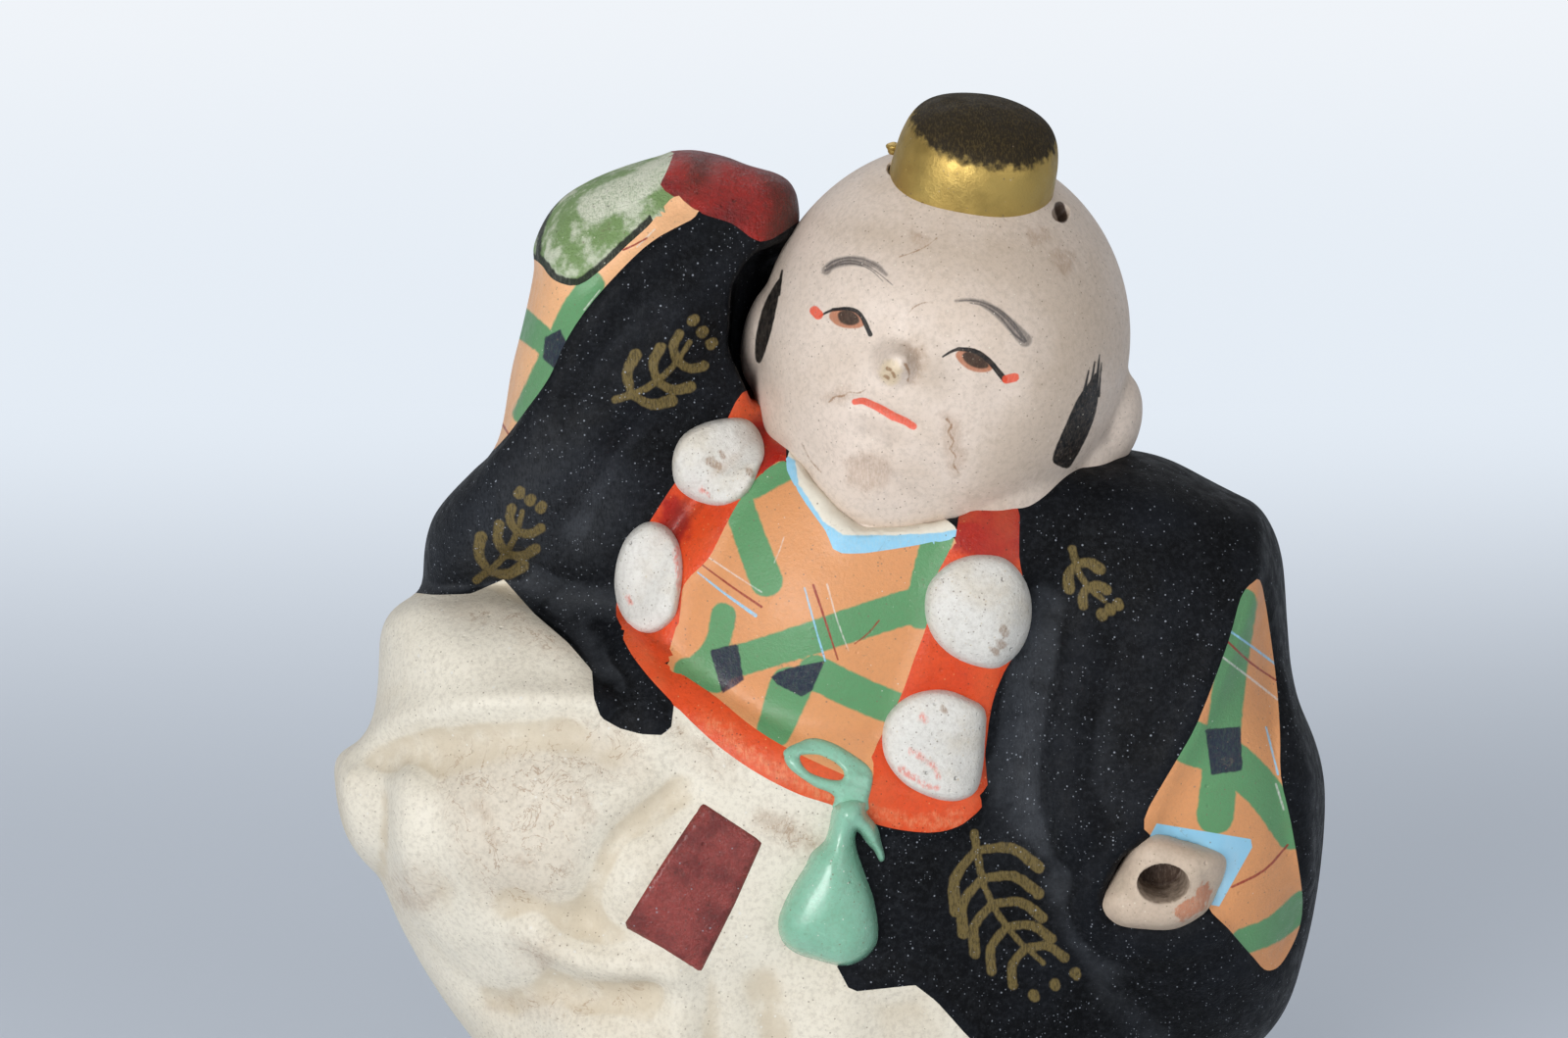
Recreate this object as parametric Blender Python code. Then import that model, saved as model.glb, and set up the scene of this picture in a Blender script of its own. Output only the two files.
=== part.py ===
"""Painted clay doll: a child in a black robe and white trousers, one sleeve raised.

The figure is built as its maker builds it. The clothed body is a hollow form of press-moulded
clay, taken from the mould as pieces that are luted together with slip. The head, cap, hand,
pompoms, straps, tassel, tab and linings are pressed apart and luted on. Metres, +Z up. The doll
faces -Y and stands on z = 0, with the origin in the middle of its base.

Tables whose names end in _px hold places read off the photograph by eye, in its pixels, and
`place` turns them into lengths with the photograph's viewpoint and FIGURE_WIDTH.
"""

import math
from typing import NamedTuple

import bmesh
import bpy
import numpy as np
from mathutils import Euler, Matrix, Vector

MM = 0.001

# Driving sizes. The sculpted proportions are in pixels, so FIGURE_WIDTH scales all of them
FIGURE_WIDTH = 118 * MM  # from the trousers' outer knee to the hanging sleeve
WALL = 5.5 * MM  # pressed clay of the body
HEAD_WALL = 4 * MM
SLAB = 1.2 * MM  # thin clay laid on the form: straps, linings, tab
LUTE_GAP = 0.3 * MM  # slip joint between two pieces
FORM_GRAIN = 1.4 * MM  # finest tool mark that the moulded body keeps
HEAD_GRAIN = 0.8 * MM  # the same for the head
HOLLOW_GRAIN = 3 * MM  # the same for the space inside, which nobody smooths
BASE_PLATE = 3 * MM
BASE_SLACK = 0.4 * MM  # between the base plate and the opening that it closes
VENT_RADIUS = 2.5 * MM
STAFF_HOLE_RADIUS = 3.1 * MM
STAFF_HOLE_DEPTH = 8 * MM
TIE_HOLE_RADIUS = 1 * MM
TIE_HOLE_DEPTH = 2.8 * MM
WELD = 0.002 * MM  # slivers shorter than this are closed up

# The photograph's viewpoint, in its own pixels
FIGURE_WIDTH_PX = 1003
PHOTO_MIDDLE_PX = (800, 529.5)
EYE_DISTANCE_PX = 4445
EYE_HEIGHT_ANGLE = math.radians(14)
AIM_X_PX = -90
AIM_Z_PX = 719
PIXEL = FIGURE_WIDTH / FIGURE_WIDTH_PX
EYE_DISTANCE = EYE_DISTANCE_PX * PIXEL
AIM_X = AIM_X_PX * PIXEL
AIM_Z = AIM_Z_PX * PIXEL

# Depths of the form, measured from the plane of the mould seam
SEAM_Y = 0 * MM
NEAR_Y = -FIGURE_WIDTH / 2  # in front of everything
FAR_Y = FIGURE_WIDTH / 2  # behind everything
SIDE_LINING_PX = 34  # how far a lining wraps round the edge of its sleeve


class Pad(NamedTuple):
    """A pad of clay: its outline, the depth of its middle, and how far it swells."""

    outline_px: tuple
    middle_px: float
    front_px: float
    back_px: float
    squareness: float


class Stroke(NamedTuple):
    """A stroke of the modelling tool: a ridge where `rise_px` is over zero, else a groove."""

    path_px: tuple
    width_px: float
    rise_px: float


class Paint(NamedTuple):
    """A coat of paint, its colour in the 0 to 255 steps of the photograph."""

    colour: tuple
    roughness: float
    metallic: float


CREAM = Paint((222, 214, 194), 0.62, 0)
BLACK = Paint((28, 30, 36), 0.42, 0)
ORANGE = Paint((226, 78, 38), 0.4, 0)
PEACH = Paint((226, 160, 110), 0.5, 0)
WHITE = Paint((226, 223, 216), 0.6, 0)
FLESH = Paint((214, 198, 186), 0.55, 0)
PALE_GREEN = Paint((120, 185, 150), 0.4, 0)
LEAF_GREEN = Paint((116, 138, 84), 0.7, 0)
DARK_RED = Paint((130, 50, 48), 0.35, 0)
CRIMSON = Paint((165, 36, 36), 0.4, 0)
BLUE = Paint((110, 180, 220), 0.5, 0)
GOLD = Paint((150, 125, 55), 0.35, 0.7)
TERRACOTTA = Paint((176, 112, 86), 0.9, 0)

TROUSERS_PAD = Pad(
    (
        (440, 606), (416, 610), (396, 625), (387, 650), (386, 690), (378, 740), (356, 772),
        (348, 799), (356, 850), (390, 900), (404, 935), (430, 985), (462, 1034), (492, 1075),
        (508, 1130), (516, 1200), (524, 1300), (540, 1430), (1215, 1430), (1232, 1300),
        (1236, 1200), (1242, 1130),
        (1250, 1050), (1252, 980), (1235, 900), (1190, 820), (1110, 740), (1000, 690),
        (840, 650), (680, 620), (560, 598),
    ),
    0, 255, 230, 0.8,
)
TORSO_PAD = Pad(
    (
        (770, 440), (700, 500), (645, 580), (618, 680), (645, 770), (780, 860), (950, 900),
        (1090, 880), (1180, 760), (1215, 620), (1190, 520), (1130, 470), (1010, 440), (880, 425),
    ),
    -17, 204, 195, 0.8,
)
RAISED_SLEEVE_PAD = Pad(
    (
        (431, 585), (438, 534), (459, 504), (489, 474), (505, 452), (511, 420), (517, 378),
        (528, 335), (538, 290), (547, 245), (568, 208), (600, 186), (645, 168), (699, 155),
        (735, 160), (765, 174), (798, 180), (811, 196), (815, 240), (808, 320), (800, 420),
        (770, 520), (705, 620), (650, 690), (600, 668), (548, 625), (512, 598), (480, 605),
        (443, 606),
    ),
    0, 145, 119, 0.75,
)
HANGING_SLEEVE_PAD = Pad(
    (
        (1070, 470), (1112, 456), (1152, 458), (1191, 467), (1237, 491), (1276, 512), (1296, 532),
        (1309, 570), (1314, 640), (1321, 706), (1338, 745), (1351, 790), (1351, 850),
        (1341, 930), (1329, 980), (1316, 1022), (1290, 1060), (1240, 1095), (1160, 1112),
        (1080, 1102), (1010, 1075), (940, 1020), (905, 960), (925, 860), (975, 740),
        (1015, 610), (1035, 520),
    ),
    -8, 221, 195, 0.8,
)
HAND_PAD = Pad(
    (
        (1168, 843), (1205, 853), (1245, 866), (1254, 879), (1246, 905), (1231, 931), (1203, 949),
        (1168, 950), (1133, 944), (1118, 927), (1126, 906), (1145, 877),
    ),
    -178, 68, 94, 0.8,
)
TASSEL_PAD = Pad(
    (
        (847, 849), (834, 868), (818, 884), (803, 908), (794, 938), (803, 963), (824, 976),
        (853, 984), (877, 981), (893, 964), (895, 937), (888, 906), (878, 884), (872, 864),
        (872, 849),
    ),
    0, 47, 68, 0.9,
)

# Foot opening that the base plate closes: its middle, half width and half depth
FOOT_PX = (-12, 10)
FOOT_HALF_PX = (315, 172)

# Trousers against robe, the whole way round; it runs off the figure at the left and below
TROUSERS_CUT_PX = (
    (250, 585), (443, 607), (480, 606), (514, 591), (545, 626), (580, 656), (604, 684),
    (606, 712), (613, 732), (632, 743), (654, 749), (675, 750), (685, 742), (688, 716),
    (750, 755), (800, 785), (850, 805),
    (894, 825), (905, 884), (897, 930), (880, 975), (853, 984), (868, 1012), (897, 1009),
    (934, 1005), (956, 1022), (988, 1058), (1040, 1092), (1120, 1100), (1316, 1085), (1500, 1080),
    (1500, 1400), (250, 1400),
)
# The same line round the back, a plain hem
BACK_CUT_PX = (
    (250, 580), (443, 607), (560, 640), (700, 720), (850, 850), (1000, 980), (1150, 1070),
    (1316, 1085), (1500, 1080), (1500, 1400), (250, 1400),
)
NECK_PX = (905, 480)  # its middle, seen below the chin
NECK_DEPTH_PX = -93
NECK_RADIUS_PX = 106
NECK_LENGTH_PX = 51  # below the head


def round_neck(shares):
    """Outline points from their shares of the neck's radius, out from its middle."""
    return tuple(
        (NECK_PX[0] + across * NECK_RADIUS_PX, NECK_PX[1] + down * NECK_RADIUS_PX)
        for across, down in shares
    )


# The collar lies round the neck: its lower edge from left to right, then its upper edge back
COLLAR_LOW_SHARES = (
    (-0.972, -0.094), (-0.858, 0.198), (-0.594, 0.575), (-0.425, 0.802), (0.302, 0.717),
    (0.66, 0.642),
)
COLLAR_HIGH_SHARES = (
    (0.632, 0.434), (0.189, 0.528), (-0.311, 0.594), (-0.5, 0.415), (-0.745, 0.075),
    (-0.915, -0.236),
)
NECK_ROOM_SHARES = (
    (-0.934, -0.377), (-0.783, 0.038), (-0.519, 0.415), (-0.311, 0.623), (0.189, 0.566),
    (0.66, 0.472), (0.896, 0.189), (0.33, -0.283), (-0.425, -0.472),
)
COLLAR_PX = round_neck(COLLAR_LOW_SHARES + COLLAR_HIGH_SHARES)
NECK_ROOM_PX = round_neck(NECK_ROOM_SHARES)
CHEST_PX = (
    (776, 484), (753, 513), (735, 547), (722, 571), (698, 596), (694, 625), (681, 678),
    (701, 691), (732, 712), (762, 737), (799, 761), (860, 790), (889, 800), (892, 767),
    (905, 740), (921, 706), (934, 669), (946, 636), (950, 600), (964, 571),
    *round_neck(reversed(COLLAR_LOW_SHARES)),
)
LEFT_STRAP_PX = (
    (758, 400), (735, 440), (700, 480), (687, 495), (663, 532), (640, 570), (630, 610),
    (634, 639), (681, 678), (694, 625), (698, 596), (722, 571), (735, 547), (753, 513),
    (776, 484), *round_neck(COLLAR_LOW_SHARES[:1]), (795, 420), (785, 400),
)
RIGHT_STRAP_PX = (
    (1036, 510), (1040, 571), (1050, 620), (1040, 660), (1025, 685), (1012, 720), (1005, 770),
    (998, 813), (889, 800), (892, 767), (905, 740), (921, 706), (934, 669), (946, 636),
    (950, 600), (964, 571), *round_neck(COLLAR_LOW_SHARES[-1:]), (985, 515),
)
BAND_PX = (
    (634, 639), (640, 660), (655, 682), (676, 706), (722, 752), (768, 786), (814, 810),
    (848, 821), (894, 841), (937, 849), (967, 847), (990, 835), (998, 813), (889, 800),
    (860, 790), (799, 761), (762, 737), (732, 712), (701, 691), (681, 678),
)
TAB_PX = ((717, 819), (778, 859), (715, 992), (636, 945))
SLEEVE_LINING_PX = (
    (470, 478), (507, 456), (540, 414), (561, 384), (579, 345), (606, 306), (648, 261),
    (675, 240), (714, 217), (690, 199), (663, 229), (642, 249), (615, 282), (588, 295),
    (564, 285), (549, 267), (515, 255), (490, 300), (480, 380), (470, 440),
)
LEAF_PATCH_PX = (
    (549, 267), (564, 285), (588, 295), (615, 282), (642, 249), (663, 229), (690, 199),
    (673, 192), (684, 166), (690, 130), (640, 130), (580, 155), (530, 195), (515, 255),
)
TOP_CUFF_PX = (
    (684, 166), (690, 130), (730, 125), (780, 140), (835, 150), (850, 200), (812, 228),
    (777, 247), (747, 228), (714, 217), (690, 199), (673, 192),
)
HANGING_LINING_PX = (
    (1279, 594), (1288, 598), (1301, 683), (1306, 745), (1307, 792), (1317, 838), (1327, 897),
    (1329, 928), (1323, 955), (1307, 984), (1292, 990), (1280, 978), (1253, 947), (1240, 932),
    (1282, 857), (1168, 838), (1198, 780), (1222, 737), (1253, 656), (1266, 610),
)
HAND_CUFF_PX = (
    (1168, 838), (1282, 857), (1240, 932), (1210, 900), (1180, 880),
)
TASSEL_LOOP_OUTER_PX = (
    (799, 773), (812, 759), (836, 754), (865, 762), (889, 783), (888, 812), (886, 826),
    (874, 846), (847, 846), (849, 826), (856, 806), (828, 796), (805, 786),
)
TASSEL_LOOP_EYE_PX = ((815, 774), (832, 768), (852, 775), (864, 787), (846, 788), (826, 783))

# Pompoms: middle, half sizes across and down, all in the photograph
POMPOMS_PX = (
    ("pompom_left_upper", (733, 470), (47, 45)),
    ("pompom_left_lower", (661, 588), (35, 57)),
    ("pompom_right_upper", (999, 625), (54, 59)),
    ("pompom_right_lower", (955, 761), (52, 55)),
)
POMPOM_RISE_SHARE = 0.42  # of its width, above the strap

ROBE_STROKES = (
    Stroke(((507, 466), (540, 424), (570, 384), (588, 345), (655, 268), (714, 228)), 16, 9),
    Stroke(((525, 575), (560, 610), (600, 650), (622, 690)), 16, -14),
    Stroke(((700, 330), (660, 400), (600, 470), (540, 520)), 34, 8),
    Stroke(((770, 300), (720, 380), (640, 450), (590, 540)), 22, -8),
    Stroke(((1276, 516), (1270, 600), (1250, 656), (1219, 737), (1195, 780), (1165, 838)), 16, 12),
    Stroke(((1165, 838), (1141, 877), (1112, 915), (1130, 955), (1190, 968), (1240, 950)), 14, 8),
    Stroke(((1100, 500), (1180, 520), (1240, 530)), 30, 8),
    Stroke(((1060, 620), (1040, 720), (1050, 820), (1075, 900)), 20, -12),
    Stroke(((1100, 640), (1090, 740), (1100, 850)), 22, 9),
    Stroke(((1150, 600), (1140, 700), (1110, 800)), 24, -8),
    Stroke(((640, 672), (660, 700), (668, 738)), 16, 10),
    Stroke(((853, 984), (868, 1008), (897, 1005), (934, 1001), (956, 1018), (988, 1054)), 12, 7),
    Stroke(((1310, 700), (1330, 800), (1328, 900)), 14, 8),
)
TROUSERS_STROKES = (
    Stroke(((372, 752), (430, 728), (520, 716), (610, 716)), 20, 10),
    Stroke(((395, 790), (470, 768), (560, 762), (620, 770)), 30, -9),
    Stroke(((378, 776), (390, 830), (399, 890)), 13, -14),
    Stroke(((352, 800), (362, 850), (378, 880)), 20, 8),
    Stroke(((422, 800), (424, 860), (434, 930)), 20, 9),
    Stroke(((500, 840), (560, 850), (590, 880)), 60, 9),
    Stroke(((690, 815), (640, 848), (612, 895), (600, 940)), 24, -16),
    Stroke(((660, 905), (690, 960)), 50, 7),
    Stroke(((535, 948), (598, 975), (680, 992)), 17, 11),
    Stroke(((520, 925), (590, 945), (620, 950)), 20, -9),
    Stroke(((560, 1010), (610, 1028), (675, 1020)), 22, -13),
    Stroke(((693, 1000), (694, 1060), (705, 1130)), 20, 9),
    Stroke(((480, 990), (530, 1040), (560, 1110)), 26, -9),
    Stroke(((600, 1060), (620, 1120)), 30, 8),
    Stroke(((780, 1010), (790, 1080), (790, 1150)), 28, -10),
    Stroke(((860, 1050), (880, 1130)), 26, 8),
)
# Folds of the back, at the pixels where the photograph would show them through the figure
BACK_STROKES = (
    Stroke(((700, 560), (860, 640), (1010, 660)), 26, 7),
    Stroke(((690, 640), (850, 730), (1010, 760)), 24, -8),
    Stroke(((1180, 560), (1080, 680), (1040, 820), (1060, 960)), 26, 8),
    Stroke(((1250, 620), (1180, 740), (1160, 880), (1190, 1010)), 26, -9),
    Stroke(((560, 300), (600, 420), (640, 520)), 28, 7),
    Stroke(((640, 260), (690, 380), (710, 480)), 24, -7),
    Stroke(((470, 700), (480, 850), (520, 1010)), 30, -10),
    Stroke(((580, 730), (590, 880), (620, 1050)), 30, 9),
    Stroke(((690, 790), (700, 930), (720, 1080)), 28, -10),
    Stroke(((820, 900), (830, 1000), (840, 1120)), 26, 8),
)
# Areas that lie lower than the black robe round them
SUNK_AREAS_PX = (
    (CHEST_PX, 11),
    (COLLAR_PX, 9),
    (LEFT_STRAP_PX, 6),
    (RIGHT_STRAP_PX, 6),
    (BAND_PX, 6),
    (SLEEVE_LINING_PX, 17),
    (LEAF_PATCH_PX, 10),
    (TOP_CUFF_PX, 8),
    (HANGING_LINING_PX, 18),
    (HAND_CUFF_PX, 14),
    (NECK_ROOM_PX, 34),
)
FACE_STROKES = (
    Stroke(((850, 345), (885, 350)), 22, -5),
    Stroke(((975, 385), (1020, 400)), 22, -5),
    Stroke(((845, 440), (850, 460)), 40, 5),
    Stroke(((1020, 480), (1010, 500)), 46, 5),
    Stroke(((880, 440), (905, 450)), 14, -4),
    Stroke(((872, 480), (885, 495)), 26, 6),
    Stroke(((872, 411), (900, 420), (931, 435)), 6, -3),
    Stroke(((860, 290), (910, 300)), 26, 3),
    Stroke(((990, 322), (1040, 350)), 26, 3),
)

HEAD_PX = (955, 347)
HEAD_DEPTH_PX = -51
HEAD_RADIUS_PX = 199
HEAD_ROTATION = Euler((math.radians(15), math.radians(13), math.radians(-9)), "XYZ")
HEAD_SEAM_PX = 22  # from the middle of the head back to its seam
NOSE_PX = (914, 371)
NOSE_SHARE = 0.088  # of the head's radius
# Middles and half sizes of the skull, the jaw and cheeks, and the ears, of the head's radius
HEAD_BALLS_SHARES = (
    ((0, 0, 0), (0.96, 1, 1)),
    ((0, -0.04, -0.22), (0.97, 0.9, 0.84)),
    ((-0.93, 0.06, -0.1), (0.12, 0.2, 0.26)),
    ((0.95, 0.06, -0.22), (0.15, 0.22, 0.26)),
)
CAP_RADIUS_PX = 80
CAP_HEIGHT_PX = 79
CAP_FOOT_SHARE = 0.86  # of the head's radius, up from its middle
CAP_PROFILE_SHARES = (
    (0.97, 0), (1, 0.2), (0.97, 0.55), (0.94, 0.75), (0.88, 0.88), (0.77, 0.96), (0.55, 1), (0.25, 0.99),
)
# Spots beside the cap: the turn round it, and how far out from its rim
TIE_HOLES_PX = ((math.radians(-166), -2.5), (math.radians(-3), 12))
STUB_PX = (math.radians(168), 2)
STUB_RADIUS_PX = 9
STUB_STRETCH_SHARE = 1.5  # of its radius, lengthwise
STAFF_HOLE_PX = (1187, 902)
VENT_PX = 100

# Sides of round shapes, and sides and rings of balls
CAP_SIDES = 28
NECK_SIDES = 32
FOOT_SIDES = 40
BORE_SIDES = 24
TIE_HOLE_SIDES = 12
VENT_SIDES = 20
SKULL_GRID = (48, 32)
SMALL_GRID = (16, 12)
POMPOM_GRID = (18, 12)
STUB_GRID = (14, 10)
# How often a fused skin is smoothed where its shapes meet
BODY_SMOOTHING = 14
HEAD_SMOOTHING = 4
HOLLOW_SMOOTHING = 6
FORM_FACETS = 3000
HEAD_FACETS = 1200
HOLLOW_FACETS = 260
MITRE_SHARE = 0.6  # least share that limits how far a drawn-in corner moves
SKIN_FADE_SHARE = 2  # how soon a stroke reaches full strength as the skin turns to the eye
SKIN_TILT_SHARE = 0.3  # how far round the edge a sunk area reaches
SUNK_EDGE_PX = 8
SHARP_ANGLE = math.radians(40)


def clear_scene():
    """Take every object out of the scene."""
    for item in list(bpy.data.objects):
        bpy.data.objects.remove(item)


def place(across_px, down_px, y):
    """The point at depth y that the photograph shows at this pixel."""
    across = (across_px - PHOTO_MIDDLE_PX[0]) * PIXEL / EYE_DISTANCE
    up = (PHOTO_MIDDLE_PX[1] - down_px) * PIXEL / EYE_DISTANCE
    sine, cosine = math.sin(EYE_HEIGHT_ANGLE), math.cos(EYE_HEIGHT_ANGLE)
    rise = (up * (y * cosine + EYE_DISTANCE) - y * sine) / (cosine + up * sine)
    distance = EYE_DISTANCE + y * cosine - rise * sine
    return Vector((AIM_X + across * distance, y, AIM_Z + rise))


def seen(points):
    """Pixels at which the photograph shows these points, one row each."""
    sine, cosine = math.sin(EYE_HEIGHT_ANGLE), math.cos(EYE_HEIGHT_ANGLE)
    rise = points[:, 2] - AIM_Z
    distance = EYE_DISTANCE + points[:, 1] * cosine - rise * sine
    scale = EYE_DISTANCE / distance / PIXEL
    across = PHOTO_MIDDLE_PX[0] + (points[:, 0] - AIM_X) * scale
    down = PHOTO_MIDDLE_PX[1] - (points[:, 1] * sine + rise * cosine) * scale
    return np.stack((across, down), axis=1)


def toward_eye():
    """Unit vector from the figure to the photograph's viewpoint."""
    return Vector((0, -math.cos(EYE_HEIGHT_ANGLE), math.sin(EYE_HEIGHT_ANGLE)))


def smooth_loop(points_px, steps):
    """Closed Catmull-Rom curve through the points, `steps` places to each span."""
    knots = np.array(points_px, dtype=float)
    before, after, beyond = (np.roll(knots, shift, axis=0) for shift in (1, -1, -2))
    loop = []
    for step in range(steps):
        t = step / steps
        loop.append(
            knots
            + 0.5 * t * (after - before)
            + t * t * (before - 2.5 * knots + 2 * after - 0.5 * beyond)
            + t * t * t * (1.5 * (knots - after) + 0.5 * (beyond - before))
        )
    return np.stack(loop, axis=1).reshape(-1, 2)


def inset(outline_px, distance):
    """The outline drawn in by a distance, or out where the distance is under zero."""
    points = np.array(outline_px, dtype=float)
    edges = np.roll(points, -1, axis=0) - points
    normals = np.stack((-edges[:, 1], edges[:, 0]), axis=1)
    normals /= np.linalg.norm(normals, axis=1, keepdims=True)
    x, y = points.T
    if np.sum(x * np.roll(y, -1) - np.roll(x, -1) * y) < 0:
        normals = -normals
    corner = normals + np.roll(normals, 1, axis=0)
    reach = np.maximum(np.sum(corner * normals, axis=1, keepdims=True), MITRE_SHARE)
    return points + corner / reach * (distance / PIXEL)


def new_object(name, mesh):
    """Object of this name in the scene."""
    item = bpy.data.objects.new(name, mesh)
    bpy.context.scene.collection.objects.link(item)
    return item


def mesh_from(name, points, faces):
    """Object from points and faces, its faces turned outward."""
    mesh = bpy.data.meshes.new(name)
    mesh.from_pydata([tuple(point) for point in points], [], faces)
    shape = bmesh.new()
    shape.from_mesh(mesh)
    bmesh.ops.recalc_face_normals(shape, faces=shape.faces)
    shape.to_mesh(mesh)
    shape.free()
    return new_object(name, mesh)


def discard(item):
    """Take a guide and its mesh away."""
    mesh = item.data
    bpy.data.objects.remove(item)
    bpy.data.meshes.remove(mesh)


def bake(item):
    """Make the object's modifiers part of its mesh."""
    graph = bpy.context.evaluated_depsgraph_get()
    shaped = bpy.data.meshes.new_from_object(item.evaluated_get(graph))
    item.modifiers.clear()
    worn = item.data
    item.data = shaped
    bpy.data.meshes.remove(worn)


def modified(item, kind, **settings):
    """Add one modifier, set it and bake it."""
    modifier = item.modifiers.new(kind.lower(), kind)
    for key, value in settings.items():
        setattr(modifier, key, value)
    bake(item)


def combine(item, other, operation, keep=False, folded=False):
    """Boolean of an object with a guide, which goes unless it is kept.

    A grown skin can fold over itself in a crease, and `folded` cuts with such a skin.
    """
    modified(item, "BOOLEAN", operation=operation, solver="EXACT", use_self=folded, object=other)
    if not keep:
        discard(other)


def twin(item, name):
    """Copy of an object with a mesh of its own."""
    return new_object(name, item.data.copy())


def grown(item, distance):
    """Copy of a form with its skin moved out along its normals."""
    copy = twin(item, "grown")
    modified(copy, "DISPLACE", strength=distance, mid_level=0)
    return copy


def prism(outline_px, near, far):
    """Guide that the outline sweeps from one depth to another as the photograph shows it."""
    count = len(outline_px)
    points = [place(u, v, y) for y in (near, far) for u, v in outline_px]
    sides = [(i, (i + 1) % count, (i + 1) % count + count, i + count) for i in range(count)]
    caps = [tuple(range(count)), tuple(range(count, 2 * count))]
    return mesh_from("prism", points, sides + caps)


def ellipsoid(name, middle, half_sizes, rotation, segments, rings):
    """Ball scaled to these half sizes."""
    shape = bmesh.new()
    bmesh.ops.create_uvsphere(shape, u_segments=segments, v_segments=rings, radius=1)
    mesh = bpy.data.meshes.new(name)
    shape.to_mesh(mesh)
    shape.free()
    mesh.transform(Matrix.LocRotScale(middle, rotation, half_sizes))
    return new_object(name, mesh)


def cylinder(name, start, end, start_radius, end_radius, segments):
    """Round rod or cone from one point to another."""
    axis = end - start
    shape = bmesh.new()
    bmesh.ops.create_cone(
        shape, cap_ends=True, segments=segments,
        radius1=start_radius, radius2=end_radius, depth=axis.length,
    )
    mesh = bpy.data.meshes.new(name)
    shape.to_mesh(mesh)
    shape.free()
    turn = axis.to_track_quat("Z", "Y")
    mesh.transform(Matrix.LocRotScale((start + end) / 2, turn, (1, 1, 1)))
    return new_object(name, mesh)


def ring_faces(spans, count):
    """Faces between rings of `count` points each, one span after another."""
    faces = []
    for ring in range(spans):
        for i in range(count):
            low, high = ring * count + i, ring * count + (i + 1) % count
            faces.append((low, high, high + count, low + count))
    return faces


def solid_pad(name, pad, steps=3, levels=8):
    """Pillow of clay: rings of its outline, drawn in toward the middle at front and back."""
    loop = smooth_loop(pad.outline_px, steps)
    middle = loop.mean(axis=0)
    count = len(loop)
    points = []
    for level in range(1, 2 * levels):
        angle = math.pi / 2 * (level / levels - 1)
        share = math.cos(angle) ** pad.squareness
        swell = abs(math.sin(angle)) ** pad.squareness
        depth_px = pad.middle_px + swell * (pad.back_px if angle > 0 else -pad.front_px)
        points += [place(*(middle + share * (knot - middle)), depth_px * PIXEL) for knot in loop]
    for depth_px in (pad.middle_px - pad.front_px, pad.middle_px + pad.back_px):
        points.append(place(*middle, depth_px * PIXEL))
    faces = ring_faces(2 * levels - 2, count)
    last = (2 * levels - 2) * count
    for i in range(count):
        j = (i + 1) % count
        faces += [(j, i, len(points) - 2), (last + i, last + j, len(points) - 1)]
    return mesh_from(name, points, faces)


def fused(name, pieces, grain, smoothing):
    """One skin round several overlapping shapes, its meeting lines softened."""
    merged = bmesh.new()
    for piece in pieces:
        merged.from_mesh(piece.data)
        discard(piece)
    mesh = bpy.data.meshes.new(name)
    merged.to_mesh(mesh)
    merged.free()
    item = new_object(name, mesh)
    modified(item, "REMESH", mode="VOXEL", voxel_size=grain)
    modified(item, "SMOOTH", factor=0.5, iterations=smoothing)
    return item


def skin(item):
    """Points and outward normals of a form."""
    mesh = item.data
    points = np.empty(len(mesh.vertices) * 3)
    mesh.vertices.foreach_get("co", points)
    normals = np.empty(len(mesh.vertices) * 3)
    mesh.vertex_normals.foreach_get("vector", normals)
    return points.reshape(-1, 3), normals.reshape(-1, 3)


def set_skin(item, points):
    """Move a form's points."""
    item.data.vertices.foreach_set("co", points.ravel())
    item.data.update()


def facing(normals, toward):
    """How squarely each part of the skin looks a way, from 0 to 1."""
    return np.clip(normals @ np.array(toward) * SKIN_FADE_SHARE, 0, 1)


def distance_to_path(spots, path_px, closed=False):
    """Distance in the photograph from each spot to a path."""
    knots = np.array(path_px, dtype=float)
    ends = np.roll(knots, -1, axis=0) if closed else knots[1:]
    best = np.full(len(spots), np.inf)
    for start, end in zip(knots, ends):
        run = end - start
        along = np.clip((spots - start) @ run / (run @ run), 0, 1)
        best = np.minimum(best, np.linalg.norm(spots - start - along[:, None] * run, axis=1))
    return best


def inside(spots, outline_px):
    """Which spots lie inside an outline in the photograph."""
    knots = np.array(outline_px, dtype=float)
    result = np.zeros(len(spots), dtype=bool)
    for start, end in zip(knots, np.roll(knots, -1, axis=0)):
        crosses = (start[1] > spots[:, 1]) != (end[1] > spots[:, 1])
        rise = end[1] - start[1] if end[1] != start[1] else 1
        reach = start[0] + (spots[:, 1] - start[1]) * (end[0] - start[0]) / rise
        result ^= crosses & (spots[:, 0] < reach)
    return result


def model(item, strokes, toward):
    """Work the strokes into a form's skin, on the side that looks this way."""
    for stroke in strokes:
        points, normals = skin(item)
        away = distance_to_path(seen(points), stroke.path_px) / stroke.width_px
        lift = np.exp(-away * away) * facing(normals, toward) * stroke.rise_px * PIXEL
        set_skin(item, points + normals * lift[:, None])


def sink(item, outline_px, depth_px):
    """Press an outlined area into a form's skin, with a soft edge."""
    points, normals = skin(item)
    spots = seen(points)
    away = distance_to_path(spots, outline_px, closed=True)
    signed = np.where(inside(spots, outline_px), away, -away)
    share = np.clip(signed / SUNK_EDGE_PX + 1, 0, 1)
    tilted = normals + np.array(toward_eye()) * SKIN_TILT_SHARE
    drop = share * share * (3 - 2 * share) * facing(tilted, toward_eye())
    set_skin(item, points - normals * (drop * depth_px * PIXEL)[:, None])


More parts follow.
